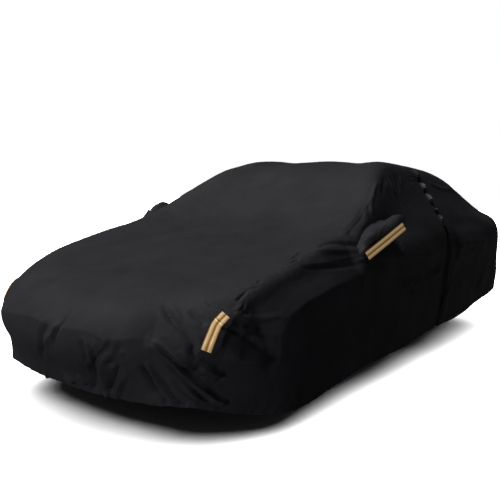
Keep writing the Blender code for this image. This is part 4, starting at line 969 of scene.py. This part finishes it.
# ==== The reflective strips =========================================================================
# Woven tape with two gold retroreflective bands and a dark line down the middle, stitched along both
# edges on top of the cloth at the front corners and on the mirror pockets.
STRIPS = (
    # name, centre line, then the direction it faces, its width and what it is sewn to
    ("left_front_strip",   ((0.754, -0.606, 0.623), (0.740, -0.653, 0.584), (0.729, -0.706, 0.473)),
     (0.50, -0.82, 0.28), 0.048, "panels"),
    ("right_front_strip",  ((-0.735, -0.630, 0.620), (-0.722, -0.680, 0.575), (-0.695, -0.735, 0.465)),
     (-0.45, -0.85, 0.28), 0.048, "panels"),
    ("left_mirror_strip",  ((0.877, 0.506, 0.842), (0.939, 0.622, 0.917), (1.000, 0.739, 0.994)),
     (0.50, -0.85, -0.08), 0.051, "left_mirror_pocket"),
    ("right_mirror_strip", ((-0.877, 0.506, 0.842), (-0.939, 0.622, 0.917), (-1.000, 0.739, 0.994)),
     (-0.50, -0.85, -0.08), 0.051, "right_mirror_pocket"),
)
STRIP_ALONG = 72
STRIP_ACROSS = 16
BEND_NODES = 9           # the bend of the centre line is smoothed over so many nodes on each side,
BEND_EASE = 5.0          # with weights that fall off over this many
FACING = 0.15            # cloth counts where it faces the tape by more than this cosine
NEAR = 0.2               # and lies nearer than this to the tape's middle
COVERED = 0.05           # and where the nodes in reach weigh this much
PANEL_BENDS = 7          # degree of the curve that a tape follows on a panel
POCKET_BENDS = 1         # and on a pocket
STRIP_CLEAR = 0.0022     # the tape's face lies this far over the cloth
POCKET_CLEAR = 0.008     # and more on the pockets, whose front end bulges past the tape
STRIP_THICK = 0.0012
STRIP_REACH = 0.009      # the tape bridges hollows narrower than this
BAND_BULGE = 0.0008
CRUMPLED = 0.0035        # the front strips stand up in a small fold where they bend
CRUMPLE_AT = 0.36
CRUMPLE_HALF = 0.035
CREASE_LEAN = 0.12       # the painted shade in that fold's crease leans by this share of the tape's length
CREASE_AT = 0.42         # and lies at this share of its width
CREASE_WIDE = 0.20
BAND_WANDER = 0.05       # how far the edges of the bands wander, in shares of the width
TAPE_COLOURS = (
    # share of the width, colour
    (0.00, (0.22, 0.08, 0.01)), (0.06, (0.50, 0.22, 0.04)), (0.13, (0.97, 0.74, 0.42)),
    (0.35, (0.97, 0.72, 0.38)), (0.43, (0.48, 0.19, 0.02)), (0.57, (0.48, 0.19, 0.02)),
    (0.65, (0.97, 0.72, 0.38)), (0.87, (0.97, 0.74, 0.42)), (0.94, (0.50, 0.22, 0.04)),
    (1.00, (0.22, 0.08, 0.01)),
)
# painted shade: the colour the tape darkens to in the crease where the front tapes bend
PAINTED_CREASE_SHADE = (0.16, 0.055, 0.005)


def reflective_tape():
    """Gold bands and dark middle across the tape, painted shade in the front tapes' bend crease, with the
    fine net of glass beads as bump.
    """
    material = bpy.data.materials.new("reflective_tape")
    material.use_nodes = True
    nodes, links = material.node_tree.nodes, material.node_tree.links
    shader = nodes["Principled BSDF"]
    shader.inputs["Roughness"].default_value = 0.42
    shader.inputs["Metallic"].default_value = 0.25
    place = add_node(nodes, "TexCoord")
    split = add_node(nodes, "SeparateXYZ")
    links.new(place.outputs["UV"], split.inputs["Vector"])
    wander = add_node(nodes, "TexNoise", Scale=90.0)
    links.new(place.outputs["Object"], wander.inputs["Vector"])
    shift = add_node(nodes, "Math")
    shift.operation = "MULTIPLY_ADD"
    shift.inputs[1].default_value = BAND_WANDER
    links.new(wander.outputs["Fac"], shift.inputs[0])
    links.new(split.outputs["X"], shift.inputs[2])
    centred = add_node(nodes, "Math")
    centred.operation = "SUBTRACT"
    centred.inputs[1].default_value = BAND_WANDER / 2
    links.new(shift.outputs["Value"], centred.inputs[0])
    bands = add_node(nodes, "ValToRGB")
    ramp = bands.color_ramp.elements
    for k, (at, colour) in enumerate(TAPE_COLOURS):
        stop = ramp[k] if k < 2 else ramp.new(at)
        stop.position = at
        stop.color = (*colour, 1)
    links.new(centred.outputs["Value"], bands.inputs["Fac"])
    # painted shade, mixed in where the piece marks its crease
    darker = mixed_in(nodes, links, "creased", PAINTED_CREASE_SHADE)
    links.new(bands.outputs["Color"], darker.inputs["A"])
    links.new(darker.outputs["Result"], shader.inputs["Base Color"])
    net = add_node(nodes, "TexVoronoi", Scale=900.0)
    links.new(place.outputs["Object"], net.inputs["Vector"])
    bump = add_node(nodes, "Bump", Strength=0.2, Distance=0.0003)
    links.new(net.outputs["Distance"], bump.inputs["Height"])
    links.new(bump.outputs["Normal"], shader.inputs["Normal"])
    return material


def strip_grid(line, towards, width, cloth_points, on_panels):
    """Tape face: a ruled surface round the centre line, lifted to lie over the cloth along one direction."""
    at = np.linspace(0, len(line) - 1, STRIP_ALONG + 1)
    middle = np.column_stack([np.interp(at, np.arange(len(line)), line[:, k]) for k in range(3)])
    soft = np.exp(-(np.arange(-BEND_NODES, BEND_NODES + 1) / BEND_EASE) ** 2)
    padded = np.pad(middle, ((BEND_NODES, BEND_NODES), (0, 0)), mode="reflect", reflect_type="odd")
    middle = np.column_stack([np.convolve(padded[:, k], soft / soft.sum(), mode="valid") for k in range(3)])
    across = np.cross(towards, np.gradient(middle, axis=0))
    across /= np.linalg.norm(across, axis=1, keepdims=True)
    share = np.linspace(-0.5, 0.5, STRIP_ACROSS + 1)
    plane = middle[:, None] + across[:, None] * (share * width)[None, :, None]
    flat = plane.reshape(-1, 3)

    # height of the cloth over that surface, from the nodes near each point as seen along the direction
    first = np.cross(towards, [0.0, 0.0, 1.0])
    first /= np.linalg.norm(first)
    seen_axes = np.stack([first, np.cross(towards, first)], axis=1)
    apart = (flat @ seen_axes)[:, None] - (cloth_points @ seen_axes)[None]
    weight = np.exp(-(apart ** 2).sum(axis=2) / STRIP_REACH ** 2)
    total = weight.sum(axis=1)
    covered = total > COVERED
    lift = ((weight @ (cloth_points @ towards)) / np.maximum(total, 1e-9) - flat @ towards)

    # the tape is stiff: a smooth curve through those heights, raised until it clears them
    bends, tilts = (PANEL_BENDS, 2) if on_panels else (POCKET_BENDS, 1)
    lengthwise = np.linspace(-1, 1, len(middle))
    u, v = (values.ravel() for values in np.meshgrid(lengthwise, share * 2, indexing="ij"))
    terms = np.column_stack([u ** i * v ** j for i in range(bends + 1) for j in range(tilts)])
    fitted = terms @ np.linalg.lstsq(terms[covered], lift[covered], rcond=None)[0]
    above = np.clip(lift - fitted, 0, None) * covered
    rise = fitted + (above.max() / 2 if on_panels else above.max() + POCKET_CLEAR)
    rise = rise.reshape(plane.shape[:2])
    if on_panels:
        run = np.linspace(0, 1, len(middle))
        rise += CRUMPLED * np.exp(-((run - CRUMPLE_AT) / CRUMPLE_HALF) ** 2)[:, None]
    bulge = BAND_BULGE * np.cos(2 * np.pi * (share * 2 - 0.5))
    return plane + towards * (rise + STRIP_CLEAR + bulge[None])[..., None]


gold = reflective_tape()
for name, line, towards, width, sewn_to in STRIPS:
    line = np.array(line)
    towards = np.array(towards) / np.linalg.norm(towards)
    on_panels = sewn_to == "panels"
    grids = list(zip(draped, draped_normals)) if on_panels else [pockets[sewn_to]]
    cloth_points = np.concatenate([points[(normals @ towards > FACING)] for points, normals in grids])
    near = np.linalg.norm(cloth_points - np.mean(line, axis=0), axis=1) < NEAR
    grid = strip_grid(line, towards, width, cloth_points[near], on_panels)
    normal = np.cross(np.gradient(grid, axis=0), np.gradient(grid, axis=1))
    normal /= np.linalg.norm(normal, axis=-1, keepdims=True)
    normal *= np.sign((normal @ towards).sum())
    share = np.tile(np.linspace(0, 1, STRIP_ACROSS + 1), (len(grid), 1))
    size = np.stack([share, gap_to(grid, 0, 0)], axis=-1)
    tape = closed_sheet(name + "_tape", grid, normal, size, STRIP_THICK)
    if on_panels:
        # painted shade in the crease of the small fold where the front tape bends
        run = np.linspace(0, 1, len(grid))[:, None]
        along = (run - CRUMPLE_AT - CREASE_LEAN * (share - 0.5)) / CRUMPLE_HALF
        crease_shade_mask = np.exp(-along ** 2 - ((share - CREASE_AT) / CREASE_WIDE) ** 2).ravel()
        mark(tape, "creased", np.pad(crease_shade_mask, (0, len(tape.data.vertices) - crease_shade_mask.size)))
    tape.data.materials.append(gold)
    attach(tape, "root")
    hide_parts(name)

# ==== Floor, light and camera =======================================================================
# A plain pale floor under a faint sky. Two lamps shine on the cover, one from above and the left of
# the picture and one from low behind the camera's left shoulder. One more lights the floor alone, one
# the tapes alone. The camera stands at the photograph's angle.
FLOOR_REACH = 60.0
FLOOR_SEEN = 0.90        # how bright the camera sees the floor and the background
SKY_SEEN = 1.0
FLOOR_BOUNCE = 0.025     # and how much light they throw on the cover
SKY_LIGHT = 0.058
LIGHT_BLUE = 1.04        # blue share of that light
LAMPS = (
    # name, where it comes from, spread in degrees, strength
    ("key", (-0.42, -0.18, 0.89), 40.0, 2.35),
    ("front", (-0.10, -0.99, 0.08), 12.0, 1.25),
    ("overhead", (0.0, 0.0, 1.0), 105.0, 12.0),     # on the floor alone
    ("tape", (0.46, -0.88, 0.10), 20.0, 0.60),      # stands in for the tape's throw back to the camera
)
CAMERA_AT = (2.4592, -2.8283, 1.1696)    # in body line coordinates
CAMERA_TURN = 35.5824    # degrees from the length axis
CAMERA_TILT = 4.7044     # degrees down
CAMERA_ROLL = 1.9666
FOCAL_PIXELS = 646.957
IMAGE_WIDTH = 500
SENSOR = 36.0
FARTHEST = 200


def seen_and_lit(tree, kind, output_kind, seen_value, lit_value):
    """One colour for the camera, another for the light that falls on the cover."""
    tree.nodes.clear()
    seen, lit = tree.nodes.new(kind), tree.nodes.new(kind)
    seen.inputs["Color"].default_value = (seen_value, seen_value, seen_value, 1)
    lit.inputs["Color"].default_value = (lit_value, lit_value, LIGHT_BLUE * lit_value, 1)
    path = tree.nodes.new("ShaderNodeLightPath")
    mix = tree.nodes.new("ShaderNodeMixShader")
    out = tree.nodes.new(output_kind)
    tree.links.new(path.outputs["Is Camera Ray"], mix.inputs["Fac"])
    tree.links.new(lit.outputs[0], mix.inputs[1])
    tree.links.new(seen.outputs[0], mix.inputs[2])
    tree.links.new(mix.outputs["Shader"], out.inputs["Surface"])


def sun(name, comes_from, spread, strength):
    """A lamp at infinity with a soft edge."""
    lamp = bpy.data.lights.new(name, "SUN")
    lamp.energy = strength
    lamp.angle = np.radians(spread)
    stand = bpy.data.objects.new(name, lamp)
    stand.rotation_euler = (-Vector(comes_from)).to_track_quat("-Z", "Y").to_euler()
    bpy.context.scene.collection.objects.link(stand)
    return stand


floor_mesh = bpy.data.meshes.new("floor")
edges = [(x * FLOOR_REACH, y * FLOOR_REACH, -ORIGIN[2]) for x, y in ((-1, -1), (1, -1), (1, 1), (-1, 1))]
floor_mesh.from_pydata(edges, [], [(0, 1, 2, 3)])
floor = bpy.data.objects.new("floor", floor_mesh)
bpy.context.scene.collection.objects.link(floor)
floor_paint = bpy.data.materials.new("pale_floor")
floor_paint.use_nodes = True
seen_and_lit(floor_paint.node_tree, "ShaderNodeBsdfDiffuse", "ShaderNodeOutputMaterial",
             FLOOR_SEEN, FLOOR_BOUNCE)
floor_mesh.materials.append(floor_paint)
world = bpy.data.worlds.new("studio")
bpy.context.scene.world = world
world.use_nodes = True
seen_and_lit(world.node_tree, "ShaderNodeBackground", "ShaderNodeOutputWorld", SKY_SEEN, SKY_LIGHT)
pieces = [piece.name for piece in bpy.data.objects if piece.name.endswith(("_cloth", "_tape"))]
tapes = [name for name in pieces if name.endswith("_tape")]
LIT_BY = {"key": pieces, "front": pieces, "overhead": ["floor"], "tape": tapes}
for lamp in LAMPS:
    stand = sun(*lamp)
    receivers = bpy.data.collections.new("lit_by_" + lamp[0])
    for name in LIT_BY[lamp[0]]:
        receivers.objects.link(bpy.data.objects[name])
    stand.light_linking.receiver_collection = receivers

turn, tilt, roll = np.radians([CAMERA_TURN, CAMERA_TILT, CAMERA_ROLL])
ahead = np.array([-np.sin(turn) * np.cos(tilt), np.cos(turn) * np.cos(tilt), -np.sin(tilt)])
right = np.array([np.cos(turn), np.sin(turn), 0.0])
up = np.cross(right, ahead)
right, up = np.cos(roll) * right + np.sin(roll) * up, np.cos(roll) * up - np.sin(roll) * right
lens = bpy.data.cameras.new("camera")
lens.sensor_width = SENSOR
lens.lens = FOCAL_PIXELS * SENSOR / IMAGE_WIDTH
lens.clip_end = FARTHEST
camera = bpy.data.objects.new("camera", lens)
place = Matrix.Identity(4)
for k, axis in enumerate((right, up, -ahead, np.array(CAMERA_AT) - ORIGIN)):
    for row in range(3):
        place[row][k] = axis[row]
camera.matrix_world = place
bpy.context.scene.collection.objects.link(camera)
bpy.context.scene.camera = camera
bpy.context.scene.view_settings.view_transform = "Standard"
